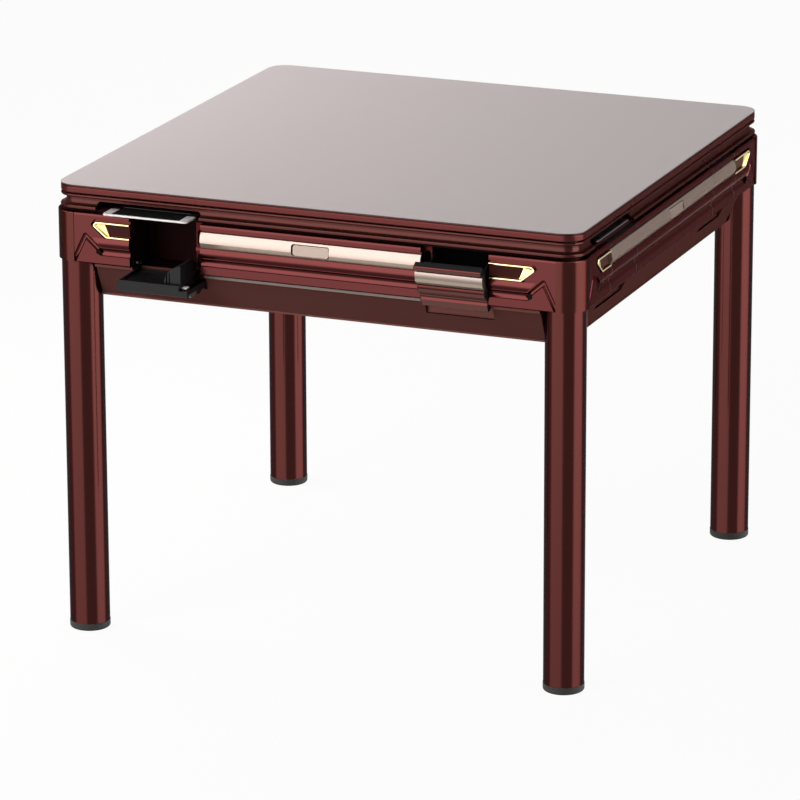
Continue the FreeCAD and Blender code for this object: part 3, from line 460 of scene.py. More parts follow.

# The top sheet's dark walls are painted shade, the dark line under its edge.
TOP = Finish("satin_laminate_top", (168, 157, 156), Grain.LAMINATE, 0.4, wander=0.03,
             relief=1e-5, level=0.25, scale=900.0, edge=(34, 13, 11))
BOARD = Finish("wine_cover_lacquer", (69, 29, 27), Grain.LACQUER, 0.28, metallic=0.5, coat=0.06,
               level=0.0, relief=1e-5, scale=260.0, sheen=FACE_SHEEN)
GASKET = Finish("black_gasket_foam", (20, 13, 13), Grain.RUBBERY, 0.8, level=0.1, scale=1500.0,
                relief=1e-4)
RIM = replace(BOARD, name="wine_rim_gloss", colour=(58, 27, 24), scale=300.0)
PANEL = Finish("red_moulded_panel", (59, 24, 23), Grain.MOULDED, 0.2, metallic=0.85, coat=0.06,
               level=0.0, wander=0.06, relief=1e-5, scale=1400.0, sheen=FACE_SHEEN)
# The drawer face's lighter under colour is painted light on its tilted faces.
DRAWER = replace(PANEL, name="red_drawer_face", under=(98, 66, 61))
POST = Finish("red_post_gloss", (54, 21, 17), Grain.LACQUER, 0.2, metallic=0.85, coat=0.09,
              level=0.0, wander=0.05, relief=6e-6, scale=300.0, sheen=WINE_SHEEN)
# The strip's lighter under colour is painted light on its faces that turn to the floor.
STRIP = Finish("champagne_pearl_strip", (134, 120, 112), Grain.PEARL, 0.28, metallic=0.6,
               coat=0.04, level=0.1, wander=0.03, scale=2600.0, relief=1e-6,
               sheen=PEARL_SHEEN, under=(172, 156, 141))
BUTTON = Finish("champagne_button", (132, 118, 109), Grain.PEARL, 0.42, metallic=0.5, level=0.05,
                wander=0.06, scale=1500.0, relief=2e-5, sheen=PEARL_SHEEN)
GOLD = Finish("polished_gold_trim", (184, 166, 122), Grain.POLISHED, 0.16, metallic=1.0,
              wander=0.03, scale=300.0, relief=3e-6)
# The tab's white is partly its own pale colour and partly a painted glint.
TAB = Finish("white_catch_tab", (238, 238, 236), Grain.RUBBERY, 0.45, level=0.3, wander=0.03,
             scale=900.0)
TIP = Finish("yellow_gold_tip", (208, 188, 122), Grain.POLISHED, 0.3, metallic=0.6, level=0.3,
             wander=0.06, scale=500.0, relief=6e-6)
INLAY = Finish("pebbled_maroon_inlay", (52, 22, 20), Grain.LEATHERED, 0.55, level=0.05,
               wander=0.4, scale=500.0, relief=3e-4)
BLACK = Finish("black_moulded_plastic", (9, 9, 10), Grain.MOULDED, 0.36, level=0.1, wander=0.15,
               scale=1600.0)
CATCH = Finish("maroon_catch_plate", (62, 24, 23), Grain.MOULDED, 0.35, metallic=0.4, level=0.0,
               wander=0.1, scale=1600.0, sheen=WINE_SHEEN)
CHASSIS = Finish("black_powder_coat", (26, 8, 9), Grain.MOULDED, 0.55, level=0.02, wander=0.15,
                 scale=2200.0, relief=6e-5)
# The belly's pale lip is a painted highlight, and its upper faces are painted shade.
BELLY = Finish("dark_red_lower_pan", (84, 51, 47), Grain.MOULDED, 0.4, metallic=0.3, level=0.0,
               scale=1100.0, relief=4e-5, sheen=WINE_SHEEN,
               paintedliphighlight=PaintedLipHighlight((104, 94, 90), low=0.6615, high=0.67, half=0.2, ledge_shade=(22, 9, 8)))
LEG = Finish("wine_leg_enamel", (52, 17, 14), Grain.LACQUER, 0.17, metallic=0.85, coat=0.12,
             level=0.0, wander=0.05, relief=4e-6, scale=240.0, sheen=WINE_SHEEN)
FOOT = Finish("black_foot_rubber", (48, 47, 46), Grain.RUBBERY, 0.62, level=0.15, scale=1300.0,
              relief=1e-4)
# Inside a slot the frame gets painted shade; outside it, it keeps its bright colour.
SILVER = Finish("satin_silver_frame", (202, 197, 195), Grain.BRUSHED, 0.34, metallic=0.15,
                wander=0.05, level=0.25, scale=1500.0, relief=1e-5, slot_depth=0.4715)
STEEL = Finish("bright_fastener_steel", (190, 190, 188), Grain.BRUSHED, 0.3, metallic=1.0,
               wander=0.06, scale=2500.0, relief=1e-5)
CLOTH = Finish("green_play_cloth", (26, 96, 70), Grain.WOVEN, 0.9, level=0.2, wander=0.14,
               scale=260.0, relief=3e-4)
TIMBER = Finish("plain_board_core", (156, 118, 84), Grain.TIMBER, 0.6, wander=0.14, scale=120.0,
                relief=1e-4)
DOME = Finish("clear_dome_acrylic", (244, 248, 250), Grain.CLEAR, 0.05, wander=0.0,
              relief=1e-6)
DICE = Finish("ivory_dice", (244, 241, 232), Grain.POLISHED, 0.25, wander=0.02, scale=900.0,
              relief=3e-6)
PIP = Finish("black_pip_paint", (20, 18, 18), Grain.RUBBERY, 0.5, scale=2500.0, relief=1e-5)
DRUM = Finish("grey_drum_moulding", (172, 174, 176), Grain.MOULDED, 0.5, scale=1200.0)
LIFT = Finish("white_lift_moulding", (218, 218, 214), Grain.MOULDED, 0.45, scale=1200.0)
MOTOR = Finish("grey_motor_paint", (92, 94, 98), Grain.LACQUER, 0.45, scale=500.0)
MAT = Finish("black_ribbed_mat", (3, 3, 3), Grain.RUBBERY, 0.7, level=0.04, wander=0.2,
             scale=1800.0, relief=8e-5)


# ---- mesh building ----
class Side(Enum):
    """The four sides, each with its number of quarter turns from the front."""

    FRONT = 0
    RIGHT = 1
    BACK = 2
    LEFT = 3

    @property
    def label(self) -> str:
        """The side's name as node names end."""
        return self.name.lower()

    def turn(self) -> Matrix:
        """Turn a front-side shape to this side about the table's axis."""
        return Matrix.Translation(AXIS) @ Matrix.Rotation(self.value * math.pi / 2, 4, "Z")


def table_axis() -> Vector:
    """Find where the table's upright axis meets the floor."""
    low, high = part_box("top_sheet")
    return Vector(((low.x + high.x) / 2, (low.y + high.y) / 2, 0.0))


AXIS = table_axis()


def local_box(node: str, side: Side) -> tuple[Vector, Vector]:
    """A node's box as it would be on the front side, about the table's axis.

    Args:
        node: The CAD node.
        side: The side that the node is on.

    Returns:
        The lowest and highest corner.
    """
    back = side.turn().inverted()
    ends = [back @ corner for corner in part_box(node)]
    low = Vector(map(min, zip(*ends)))
    high = Vector(map(max, zip(*ends)))
    return low, high


def mesh_piece(name: str, shape: BMesh, finish: Finish, body: str,
               placed: Matrix) -> bpy.types.Object:
    """Make an object of a mesh and hang it on a body.

    Args:
        name: The piece's name.
        shape: The mesh, which is freed.
        finish: The finish that it gets.
        body: The CAD body that carries it.
        placed: Where it stands.

    Returns:
        The new object.
    """
    shape.transform(placed)
    bmesh.ops.recalc_face_normals(shape, faces=shape.faces)
    data = bpy.data.meshes.new(name)
    shape.to_mesh(data)
    shape.free()
    data.materials.append(finish.material())
    piece = bpy.data.objects.new(name, data)
    bpy.context.collection.objects.link(piece)
    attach(piece, body)
    log.info("piece %s on %s", name, body)
    return piece


def soften(shape: BMesh, edges: Sequence[BMEdge], width: float, segments: int = 3,
           profile: float = 0.5) -> None:
    """Bevel some edges of a mesh; a profile of 0.5 is round, and a larger one is fuller."""
    bmesh.ops.bevel(shape, geom=edges, offset=width, segments=segments, profile=profile,
                    affect="EDGES")


def add_block(shape: BMesh, low: Vector, high: Vector, bevel: float) -> None:
    """Add a block with bevelled edges to a mesh.

    Args:
        shape: The mesh that grows.
        low: The block's lowest corner.
        high: Its highest corner.
        bevel: Width of the bevel, or 0 for none.
    """
    size = high - low
    placed = Matrix.Translation((low + high) / 2) @ Matrix.Diagonal((*size, 1.0))
    made = bmesh.ops.create_cube(shape, size=1.0, matrix=placed)
    corners = set(made["verts"])
    edges = [edge for edge in shape.edges if corners.issuperset(edge.verts)]
    if bevel > 0:
        soften(shape, edges, bevel, segments=2, profile=0.6)


def front_block(x: Span, d: Span, z: Span, bevel: float) -> BMesh:
    """A mesh of one bevelled block at the front side."""
    shape = bmesh.new()
    add_block(shape, Vector((x[0], -d[1], z[0])), Vector((x[1], -d[0], z[1])), bevel)
    return shape


def rounded_line(points: Sequence[Vector], radius: float, steps: int = 5) -> list[Vector]:
    """Round the inner corners of an open line in a plane.

    Args:
        points: The line's corners.
        radius: The rounding's radius.
        steps: How many points follow each corner's arc.

    Returns:
        The rounded line.
    """
    line = [points[0]]
    for before, corner, after in zip(points, points[1:], points[2:]):
        to_before, to_after = (before - corner).normalized(), (after - corner).normalized()
        half = to_before.angle(to_after) / 2
        run = radius / math.tan(half)
        centre = corner + (to_before + to_after).normalized() * radius / math.sin(half)
        start, stop = corner + to_before * run - centre, corner + to_after * run - centre
        line += [centre + start.slerp(stop, step / steps) * radius for step in range(steps + 1)]
    return line + [points[-1]]


def rounded_box(x: Span, y: Span, radii: Sequence[float], steps: int = 6) -> Outline:
    """A rectangle with rounded corners, from its lowest corner and counter-clockwise.

    Args:
        x: Its lowest and highest x.
        y: Its lowest and highest y.
        radii: The radius at each corner.
        steps: How many points follow each corner's arc.

    Returns:
        The outline's points, steps + 1 for each corner.
    """
    corners = ((x[0], y[0], 180), (x[1], y[0], 270), (x[1], y[1], 0), (x[0], y[1], 90))
    outline = []
    for (corner_x, corner_y, start), radius in zip(corners, radii):
        centre_x = corner_x + radius if corner_x == x[0] else corner_x - radius
        centre_y = corner_y + radius if corner_y == y[0] else corner_y - radius
        for step in range(steps + 1):
            turn = math.radians(start + 90 * step / steps)
            outline.append((centre_x + radius * math.cos(turn), centre_y + radius * math.sin(turn)))
    return outline


def ring(shape: BMesh, outer: Outline, inner: Outline, low: float, high: float) -> list[BMEdge]:
    """Add an upright ring between two outlines of as many points.

    Args:
        shape: The mesh that grows.
        outer: The outer outline.
        inner: The inner outline.
        low: The ring's lowest z.
        high: Its highest z.

    Returns:
        The edges of its top and bottom, outside and inside, for a bevel.
    """
    loops = [[shape.verts.new((x, y, z)) for x, y in outline]
             for outline, z in ((outer, high), (outer, low), (inner, low), (inner, high))]
    count = len(outer)
    for row, after in zip(loops, loops[1:] + loops[:1]):
        for index in range(count):
            shape.faces.new((row[index], row[index - 1], after[index - 1], after[index]))
    rims = []
    for row in (loops[0], loops[1], loops[3]):
        rims += [shape.edges.get((row[index - 1], row[index])) for index in range(count)]
    return rims


def prism(shape: BMesh, outline: Outline, low: float, high: float, bevel: float) -> None:
    """Add a prism with a bevelled upper edge.

    Args:
        shape: The mesh that grows.
        outline: The prism's outline in x and y.
        low: Its lowest z.
        high: Its highest z.
        bevel: Width of the bevel.
    """
    under = [shape.verts.new((x, y, low)) for x, y in outline]
    upper = [shape.verts.new((x, y, high)) for x, y in outline]
    shape.faces.new(under[::-1])
    shape.faces.new(upper)
    for index in range(len(outline)):
        shape.faces.new((under[index - 1], under[index], upper[index], upper[index - 1]))
    rim = [shape.edges.get((upper[index - 1], upper[index])) for index in range(len(outline))]
    soften(shape, rim, bevel)


def inward_ways(path: Sequence[Vector], sharpest: float = 0.3) -> list[Vector]:
    """Find the mitred way to the left of each point of a plane line.

    Args:
        path: The line's points.
        sharpest: The least share of a way that may lie across the line.

    Returns:
        For each point, the way that leads one unit off the line.
    """
    runs = [(after - before).normalized() for before, after in zip(path, path[1:])]
    ways = []
    for before, after in zip([runs[0]] + runs, runs + [runs[-1]]):
        middle = Vector((-(before.y + after.y), before.x + after.x)).normalized()
        ways.append(middle / max(sharpest, middle.dot(Vector((-after.y, after.x)))))
    return ways


def sweep(shape: BMesh, rows: Rows) -> None:
    """Join rows of points into a solid with closed sides and ends."""
    made = [[shape.verts.new(point) for point in row] for row in rows]
    for row, after in zip(made, made[1:]):
        for index in range(len(row)):
            shape.faces.new((row[index - 1], row[index], after[index], after[index - 1]))
    shape.faces.new(made[0][::-1])
    shape.faces.new(made[-1])


def paint(item: bpy.types.Object, finish: Finish) -> None:
    """Give a CAD node its finish."""
    for slot in item.material_slots:
        slot.material = finish.material()
    if not item.material_slots:
        item.data.materials.append(finish.material())
    log.info("node %s in %s", item.name, finish.name)


# ---- sub-assemblies ----
FIXED_FINISHES = {
    "top_sheet": TOP, "cover_board": BOARD, "cover_gasket": GASKET, "rim_rails": RIM,
    "corner_posts": POST, "belly_pan": BELLY, "legs": LEG, "foot_caps": FOOT,
    "leg_bolts": CHASSIS, "fixed_strips": STRIP, "trim_inlays": INLAY, "hinge_pins": STEEL,
    "catch_plates": CATCH, "button_switches": BLACK, "chassis_frame": CHASSIS,
    "play_board": TIMBER, "play_cloth": CLOTH, "mixing_drum": DRUM, "drum_motor": MOTOR,
    "tile_lifts": LIFT, "console_base": BLACK, "dice_dome": DOME, "dice": DICE}
SIDE_FINISHES = {
    "side_panel": PANEL, "cup_door": PANEL, "cup_strip": STRIP, "cup_tray": BLACK,
    "drawer_face": DRAWER, "drawer_strip": STRIP, "drawer_bin": BLACK}


def dress(nodes: dict[str, bpy.types.Object]) -> None:
    """Give the CAD nodes that stay as they are their finishes."""
    for name, finish in FIXED_FINISHES.items():
        paint(nodes[name], finish)
    for side in Side:
        for name, finish in SIDE_FINISHES.items():
            paint(nodes[f"{name}_{side.label}"], finish)


@dataclass
class Shelf:
    """A slide-out shelf: a slim bright frame round a pan with a ribbed black mat."""

    thickness: float = 3.4 * MM
    front_bar: float = 4.5 * MM
    side_bar: float = 16.0 * MM
    back_bar: float = 3.0 * MM
    corner: float = 6.0 * MM
    inner_corner: float = 1.5 * MM
    edge: float = 1.0 * MM
    pan_floor: float = 0.7 * MM
    heel: float = 12.0 * MM
    mat_sink: float = 0.9 * MM
    rib_pitch: float = 3.6 * MM
    rib_width: float = 1.8 * MM
    rib_height: float = 0.5 * MM
    rib_end: float = 2.0 * MM
    heel_bevel: float = 0.4 * MM
    touch: float = 0.2 * MM

    def build(self, side: Side) -> None:
        """Make the frame and the mat of one side."""
        low, high = local_box(f"shelf_{side.label}", side)
        body = f"slide_shelf_{side.label}"
        # The frame's finish paints shade on its part inside the slot.
        piece = mesh_piece(f"shelf_frame_{side.label}", self._frame(low, high), SILVER,
                           body, side.turn())
        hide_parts(f"shelf_{side.label}")
        mesh_piece(f"shelf_mat_{side.label}", self._mat(low, high), MAT, body,
                   side.turn())

    def _room(self, low: Vector, high: Vector) -> tuple[Vector, Vector]:
        """The pan's lowest and highest corner, between the bars."""
        under = high.z - self.thickness + self.pan_floor
        return (Vector((low.x + self.side_bar, low.y + self.front_bar, under)),
                Vector((high.x - self.side_bar, high.y - self.back_bar, high.z)))

    def _frame(self, low: Vector, high: Vector) -> BMesh:
        """The bright frame, with the floor of its pan and two heels in the slot."""
        a, b = self._room(low, high)
        outer = rounded_box((low.x, high.x), (low.y, high.y),
                            (self.corner, self.corner, self.touch, self.touch))
        inner = rounded_box((a.x, b.x), (a.y, b.y), (self.inner_corner,) * 4)
        shape = bmesh.new()
        under = high.z - self.thickness
        soften(shape, ring(shape, outer, inner, under, high.z), self.edge)
        add_block(shape, Vector((a.x - self.edge, a.y - self.edge, under)),
                  Vector((b.x + self.edge, b.y + self.edge, a.z)), 0.0)
        for bar_x in (low.x, high.x - self.side_bar):
            add_block(shape, Vector((bar_x + self.edge, high.y - self.heel, low.z)),
                      Vector((bar_x + self.side_bar - self.edge, high.y - self.edge,
                              under + self.touch)), self.heel_bevel)
        return shape

    def _mat(self, low: Vector, high: Vector) -> BMesh:
        """The mat that fills the pan, with ribs along it."""
        a, b = self._room(low, high)
        b.z -= self.mat_sink
        shape = bmesh.new()
        add_block(shape, a, b, self.touch)
        count = int((b.y - a.y - self.rib_pitch) / self.rib_pitch)
        first = (a.y + b.y - count * self.rib_pitch) / 2
        for index in range(count + 1):
            y = first + index * self.rib_pitch
            add_block(shape, Vector((a.x + self.rib_end, y - self.rib_width / 2,
                                     b.z - self.touch)),
                      Vector((b.x - self.rib_end, y + self.rib_width / 2,
                              b.z + self.rib_height)), self.touch)
        return shape


@dataclass
class CallButton:
    """A call button: a flat satin cap with a dark gap round it, and the flange that keeps it in."""

    x: Span = (-31.6 * MM, 33.2 * MM)
    z: Span = (721.4 * MM, 739.6 * MM)
    d: Span = (469.0 * MM, 481.4 * MM)
    corner: float = 3.6 * MM
    bevel: float = 0.8 * MM
    slope: float = 0.05
    flange_x: Span = (-36.0 * MM, 36.0 * MM)
    flange_z: Span = (718.6 * MM, 742.4 * MM)
    flange_d: Span = (471.8 * MM, 473.7 * MM)
    flange_bevel: float = 0.2 * MM

    def build(self, side: Side) -> None:
        """Make the cap and the flange of one side."""
        body = f"button_{side.label}"
        corners = (self.corner,) * 4
        cap = bmesh.new()
        prism(cap, rounded_box(self.x, self.z, corners), *self.d, self.bevel)
        piece = mesh_piece(f"button_cap_{side.label}", cap, BUTTON, body,
                           side.turn() @ self._upright(self.slope))
        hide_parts(f"call_button_{side.label}")
        flange = bmesh.new()
        prism(flange, rounded_box(self.flange_x, self.flange_z, corners), *self.flange_d,
              self.flange_bevel)
        mesh_piece(f"button_flange_{side.label}", flange, MAT, body,
                   side.turn() @ self._upright(0.0))

    def _upright(self, slope: float) -> Matrix:
        """Stand a shape drawn as (x, z, d) up, leaning back with height by the slope."""
        middle = sum(self.z) / 2
        return Matrix(((1, 0, 0, 0), (0, slope, -1, -slope * middle), (0, 1, 0, 0),
                       (0, 0, 0, 1)))


@dataclass
class EndTrims:
    """The eight bright trims: a thin C-shaped frame, and a plate that slopes in behind its tip.

    Each side has one beside its left and one beside its right opening, where `edges` says how
    far from the middle their arms end. Both are drawn as the right one.
    """

    bottom: float = 717.0 * MM
    top: float = 744.0 * MM
    tip_x: float = 402.5 * MM
    tip_drop: float = 6.0 * MM
    shoulder_back: float = 8.0 * MM
    heel_back: float = 26.0 * MM
    seat_d: float = 474.0 * MM
    face_d: float = 482.0 * MM
    corner: float = 4.0 * MM
    width: float = 2.7 * MM
    edge: float = 0.7 * MM
    slot: float = 1.6 * MM
    edge_knee: float = 0.3
    plate_sink: float = 1.4 * MM
    plate_low: float = 3.5 * MM
    plate_under: float = 0.4 * MM
    plate_tip_widths: float = 1.25
    plate_tip_down: float = 0.6 * MM
    plate_heel: float = 0.2 * MM
    plate_shoulder: float = 1.5 * MM
    plate_inner: Span = (22.5 * MM, 31.0 * MM)
    edges: Span = (333.5 * MM, 319.0 * MM)

    def build(self) -> None:
        """Make the trims of all sides."""
        frames, tips = bmesh.new(), bmesh.new()
        for side in Side:
            for edge_x, flip in zip(self.edges, (-1.0, 1.0)):
                placed = side.turn() @ Matrix.Diagonal((flip, 1.0, 1.0, 1.0))
                for shape, rows in ((frames, self._frame(edge_x)), (tips, self._tip())):
                    sweep(shape, [[placed @ point for point in row] for row in rows])
        piece = mesh_piece("end_trim_frames", frames, GOLD, "table", Matrix())
        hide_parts("end_trims")
        mesh_piece("end_trim_tips", tips, TIP, "table", Matrix())

    def _path(self, edge_x: float) -> list[Vector]:
        """The outer line in x and z, from the bottom arm's end round the tip to the top arm's."""
        heel = Vector((self.tip_x - self.heel_back, self.bottom))
        tip = Vector((self.tip_x, self.top - self.tip_drop))
        shoulder = Vector((self.tip_x - self.shoulder_back, self.top))
        ends = [Vector((edge_x, z)) for z in (self.bottom, self.top)]
        return rounded_line([ends[0], heel, tip, shoulder, ends[1]], self.corner)

    def _frame(self, edge_x: float) -> Rows:
        """The thin frame's section at each point of its outer line."""
        path = self._path(edge_x)
        w, e, face = self.width, self.edge, self.face_d
        knee = e * self.edge_knee
        section = [(0.0, self.seat_d), (0.0, face - e), (knee, face - knee), (e, face),
                   (w - e, face), (w - knee, face - knee), (w, face - e), (w, self.seat_d)]
        return [[Vector((spot.x + inward.x * across, -depth, spot.y + inward.y * across))
                 for across, depth in section] for spot, inward in zip(path, inward_ways(path))]

    def _tip(self) -> Rows:
        """The back and front of the plate behind the tip, high at the frame, low at the inlay."""
        w = self.width - self.plate_under
        top = self.top - self.width - self.slot
        outer = [(self.tip_x - self.heel_back - self.plate_heel, self.bottom + w),
                 (self.tip_x - w * self.plate_tip_widths,
                  self.top - self.tip_drop - self.plate_tip_down),
                 (self.tip_x - self.shoulder_back - self.plate_shoulder, top)]
        inner = [(self.tip_x - back, z)
                 for back, z in zip(self.plate_inner, (top, self.bottom + w))]
        high, low = self.face_d - self.plate_sink, self.seat_d + self.plate_low
        front = [Vector((x, -depth, z))
                 for points, depth in ((outer, high), (inner, low)) for x, z in points]
        return [[Vector((point.x, -self.seat_d, point.z)) for point in front], front]


@dataclass
class GroovePlugs:
    """The black plugs at the inner ends of the V-grooves, two on each side."""

    x: float = 391.6 * MM
    z: float = 691.9 * MM
    radius: float = 4.4 * MM
    d: Span = (474.0 * MM, 480.5 * MM)
    facets: int = 24

    def build(self, side: Side) -> None:
        """Make the plugs of one side."""
        shape = bmesh.new()
        middle, length = sum(self.d) / 2, self.d[1] - self.d[0]
        for x in (-self.x, self.x):
            place = Matrix.Translation((x, -middle, self.z))
            bmesh.ops.create_cone(shape, cap_ends=True, segments=self.facets,
                                  radius1=self.radius, radius2=self.radius, depth=length,
                                  matrix=place @ Matrix.Rotation(math.radians(90), 4, "X"))
        mesh_piece(f"groove_plugs_{side.label}", shape, MAT, "table",
                   side.turn())


@dataclass
class LatchBlock:
    """The small block between the two slots of a cup holder's catch plate."""

    x: Span = (-216.2 * MM, -201.0 * MM)
    d: Span = (462.8 * MM, 466.0 * MM)
    z: Span = (706.6 * MM, 713.4 * MM)
    bevel: float = 0.8 * MM

    def build(self, side: Side) -> None:
        """Make the block of one side."""
        mesh_piece(f"latch_block_{side.label}", front_block(self.x, self.d, self.z, self.bevel),
                   PANEL, "table", side.turn())


@dataclass(frozen=True)
class Door:
    """A door of each side, as its catch tongue needs it.

    Attributes:
        name: What the names of its bodies begin with.
        edge_x: The end of its tray or bin, where the tongue stands.
        way: 1 if the tongue points along +X, or -1.
        front_open: Degrees that the front one is open at rest.
    """

    name: str
    edge_x: float
    way: int
    front_open: float


@dataclass
class CatchTongue:
    """The small pale tongue on the end of a tray or bin that the catch plate holds."""

    doors: tuple[Door, ...] = (Door("cup_holder", -217.5 * MM, 1, 90.0),
                               Door("drawer", 214.0 * MM, -1, 27.0))
    hinge_d: float = 450 * MM
    hinge_z: float = 671 * MM
    reach: float = 9.5 * MM
    d: Span = (463.7 * MM, 465.9 * MM)
    z: Span = (733 * MM, 745 * MM)
    bevel: float = 0.5 * MM

    def build(self, side: Side) -> None:
        """Make the tongues of one side."""
        for door in self.doors:
            body = f"{door.name}_{side.label}"
            ends = sorted((door.edge_x, door.edge_x + door.way * self.reach))
            shape = front_block(ends, self.d, self.z, self.bevel)
            swing = self._swing(door.front_open if side is Side.FRONT else 0.0)
            mesh_piece(f"catch_tongue_{body}", shape, TAB, body,
                       side.turn() @ swing)

    def _swing(self, degrees: float) -> Matrix:
        """Open a door of the front side by some degrees."""
        pivot = Matrix.Translation((0.0, -self.hinge_d, self.hinge_z))
        return pivot @ Matrix.Rotation(math.radians(degrees), 4, "X") @ pivot.inverted()


@dataclass
class DicePips:
    """The pips on both dice under the dome."""

    radius: float = 0.9 * MM
    step: float = 2.6 * MM
    sink: float = 0.55 * MM
    faces: tuple[tuple[int, tuple[int, int, int]], ...] = (
        (6, (0, 0, 1)), (4, (1, 0, 0)), (5, (0, 1, 0)), (2, (0, -1, 0)), (3, (-1, 0, 0)))

    def spots(self, count: int) -> Outline:
        """Where the pips of one face lie, in steps from its middle."""
        corners = [(-1.0, -1.0), (1.0, 1.0), (-1.0, 1.0), (1.0, -1.0), (-1.0, 0.0), (1.0, 0.0)]
        middle = [(0.0, 0.0)] if count % 2 else []
        return middle + corners[:count - len(middle)]

    def build(self) -> None:
        """Make the pips of each die, on all faces but the one that it lies on."""
        low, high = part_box("dice")
        half = (high.z - low.z) / 2
        shape = bmesh.new()
        for centre_x in (low.x + half, high.x - half):
            centre = Vector((centre_x, (low.y + high.y) / 2, (low.z + high.z) / 2))
            for count, way in self.faces:
                facing = Vector((0, 0, 1)).rotation_difference(Vector(way))
                turned = Matrix.Translation(centre) @ facing.to_matrix().to_4x4()
                for across, up in self.spots(count):
                    at = Vector((across * self.step, up * self.step, half - self.sink))
                    bmesh.ops.create_icosphere(shape, subdivisions=2, radius=self.radius,
                                               matrix=turned @ Matrix.Translation(at))
        mesh_piece("dice_pips", shape, PIP, "table", Matrix())


@dataclass(frozen=True)
class Softbox:
    """A tall bright panel of the studio, as gloss shows it.

    Attributes:
        left: Bearing of its left side in degrees, 0 towards -Y and 90 towards +X.
        right: Bearing of its right side.
        low: Rise of a direction, from -1 to 1, at which it begins.
        high: Rise at which it is in full.
        strength: How bright it is, where the backdrop is 1.
        soft: Half the width in degrees of its blurred sides.
    """

    left: float
    right: float
    low: float
    high: float
    strength: float
    soft: float = 6.0

    def glow(self, bearing: Shade, rise: Shade) -> Shade:
        """How much brighter than the backdrop the studio is in one direction."""
        across = bearing.band(*map(math.radians, (self.left, self.right, self.soft)))
        return across * rise.step(self.low, self.high) * (self.strength - 1.0)


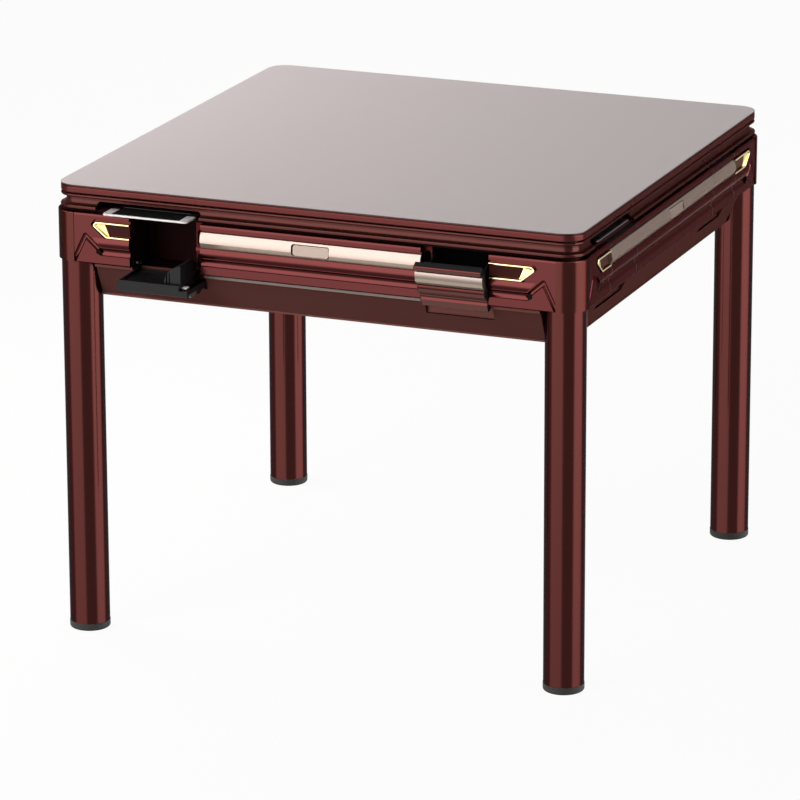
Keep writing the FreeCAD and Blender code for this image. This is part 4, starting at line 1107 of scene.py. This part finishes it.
@dataclass
class Studio:
    """The floor, lamps, world and camera.

    Each lamp has a name, a place from the table's axis, a width and its watts. The white
    surroundings light the table as far as `ambient` says.
    """

    camera_place: Spot = (3.1969, -7.95405, 2.959)
    bearing: float = math.radians(22.0381)
    elevation: float = math.radians(16.9714)
    roll: float = math.radians(-0.1929)
    lens: float = 227.571
    sensor: float = 36.0
    far: float = 100.0
    floor_half: float = 30.0
    floor_paint: Paint = (215, 213, 212)
    whiteness: float = 0.95
    ambient: float = 0.2
    softboxes: tuple[Softbox, ...] = (
        Softbox(-62.0, 6.0, -0.55, 0.0, 7.4),
        Softbox(69.0, 124.0, -0.55, 0.0, 11.0))
    lamps: tuple[tuple[str, Spot, float, float], ...] = (
        ("key_lamp", (-1.9, -3.7, 2.8), 2.2, 142.0),
        ("side_lamp", (-1.7, 0.2, 1.6), 1.2, 31.0),
        ("top_lamp", (-0.6, 0.0, 4.2), 3.0, 6.0),
        ("back_lamp", (-1.8, 3.6, 2.6), 2.0, 32.0))
    lamp_aim: float = 0.6

    def build(self) -> None:
        """Make everything of the studio."""
        self._camera()
        self._floor()
        self._world()
        for name, place, size, power in self.lamps:
            self._lamp(name, Vector(place), size, power)
        log.info("studio with %d lamps and %d softboxes", len(self.lamps), len(self.softboxes))

    def _camera(self) -> None:
        """Stand the camera where it sees the front and right sides from above."""
        a, e, r = self.bearing, self.elevation, self.roll
        back = Vector((math.sin(a) * math.cos(e), -math.cos(a) * math.cos(e), math.sin(e)))
        right = Vector((math.cos(a), math.sin(a), 0.0))
        up = back.cross(right)
        across = math.cos(r) * right + math.sin(r) * up
        above = math.cos(r) * up - math.sin(r) * right
        data = bpy.data.cameras.new("table_camera")
        data.sensor_fit = "HORIZONTAL"
        data.sensor_width = self.sensor
        data.lens = self.lens
        data.clip_end = self.far
        camera = bpy.data.objects.new("table_camera", data)
        turned = Matrix((across, above, back)).transposed().to_4x4()
        camera.matrix_world = Matrix.Translation(self.camera_place) @ turned
        bpy.context.collection.objects.link(camera)
        bpy.context.scene.camera = camera

    def _floor(self) -> None:
        """Lay the pale floor, which the camera sees as nearly white but for a soft shadow."""
        shape = bmesh.new()
        bmesh.ops.create_grid(shape, x_segments=1, y_segments=1, size=self.floor_half)
        data = bpy.data.meshes.new("studio_floor")
        shape.to_mesh(data)
        shape.free()
        made = bpy.data.materials.new("studio_floor_paint")
        bench = Bench(made)
        lit = bench.node("ShaderNodeBsdfDiffuse", None, {"Color": srgb(*self.floor_paint)})
        white = bench.node("ShaderNodeEmission", None, {"Color": WHITE, "Strength": 1.0})
        share = bench.seen_ray() * self.whiteness
        mixed = bench.node("ShaderNodeMixShader", None, {0: share, 1: lit, 2: white})
        bench.finish_with("ShaderNodeOutputMaterial", "Surface", mixed)
        data.materials.append(made)
        floor = bpy.data.objects.new("studio_floor", data)
        floor.visible_glossy = False
        bpy.context.collection.objects.link(floor)

    def _world(self) -> None:
        """Light all round dimly, with white and the softboxes where a reflection looks."""
        world = bpy.data.worlds.new("studio_world")
        world.cycles.sampling_method = "NONE"
        bpy.context.scene.world = world
        bench = Bench(world)
        way = bench.node("ShaderNodeTexCoord", output="Generated")
        rise = bench.part(way, 2)
        bearing = bench.part(way, 0).bearing(bench.part(way, 1) * -1.0)
        glow = self.softboxes[0].glow(bearing, rise)
        for softbox in self.softboxes[1:]:
            glow = glow + softbox.glow(bearing, rise)
        plain = bench.seen_ray() * (1.0 - self.ambient) + self.ambient
        strength = plain + glow * bench.ray("Glossy")
        sky = bench.node("ShaderNodeBackground", None, {"Color": WHITE, "Strength": strength})
        bench.finish_with("ShaderNodeOutputWorld", "Surface", sky)

    def _lamp(self, name: str, place: Vector, size: float, power: float) -> None:
        """Hang one soft square lamp that looks at the table."""
        data = bpy.data.lights.new(name, "AREA")
        data.shape = "SQUARE"
        data.size = size
        data.energy = power
        lamp = bpy.data.objects.new(name, data)
        lamp.location = AXIS + place
        look = AXIS + Vector((0, 0, self.lamp_aim)) - lamp.location
        lamp.rotation_euler = look.to_track_quat("-Z", "Y").to_euler()
        lamp.visible_glossy = False
        bpy.context.collection.objects.link(lamp)


def main() -> None:
    """Dress the table, add its small trim and set up the studio."""
    logging.basicConfig(level=logging.INFO, format="%(message)s")
    bpy.context.scene.view_settings.view_transform = "Standard"
    dress(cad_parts)
    EndTrims().build()
    trims = (Shelf(), LatchBlock(), GroovePlugs(), CallButton(), CatchTongue())
    for side in Side:
        for trim in trims:
            trim.build(side)
    DicePips().build()
    Studio().build()


if __name__ == "__main__":
    main()
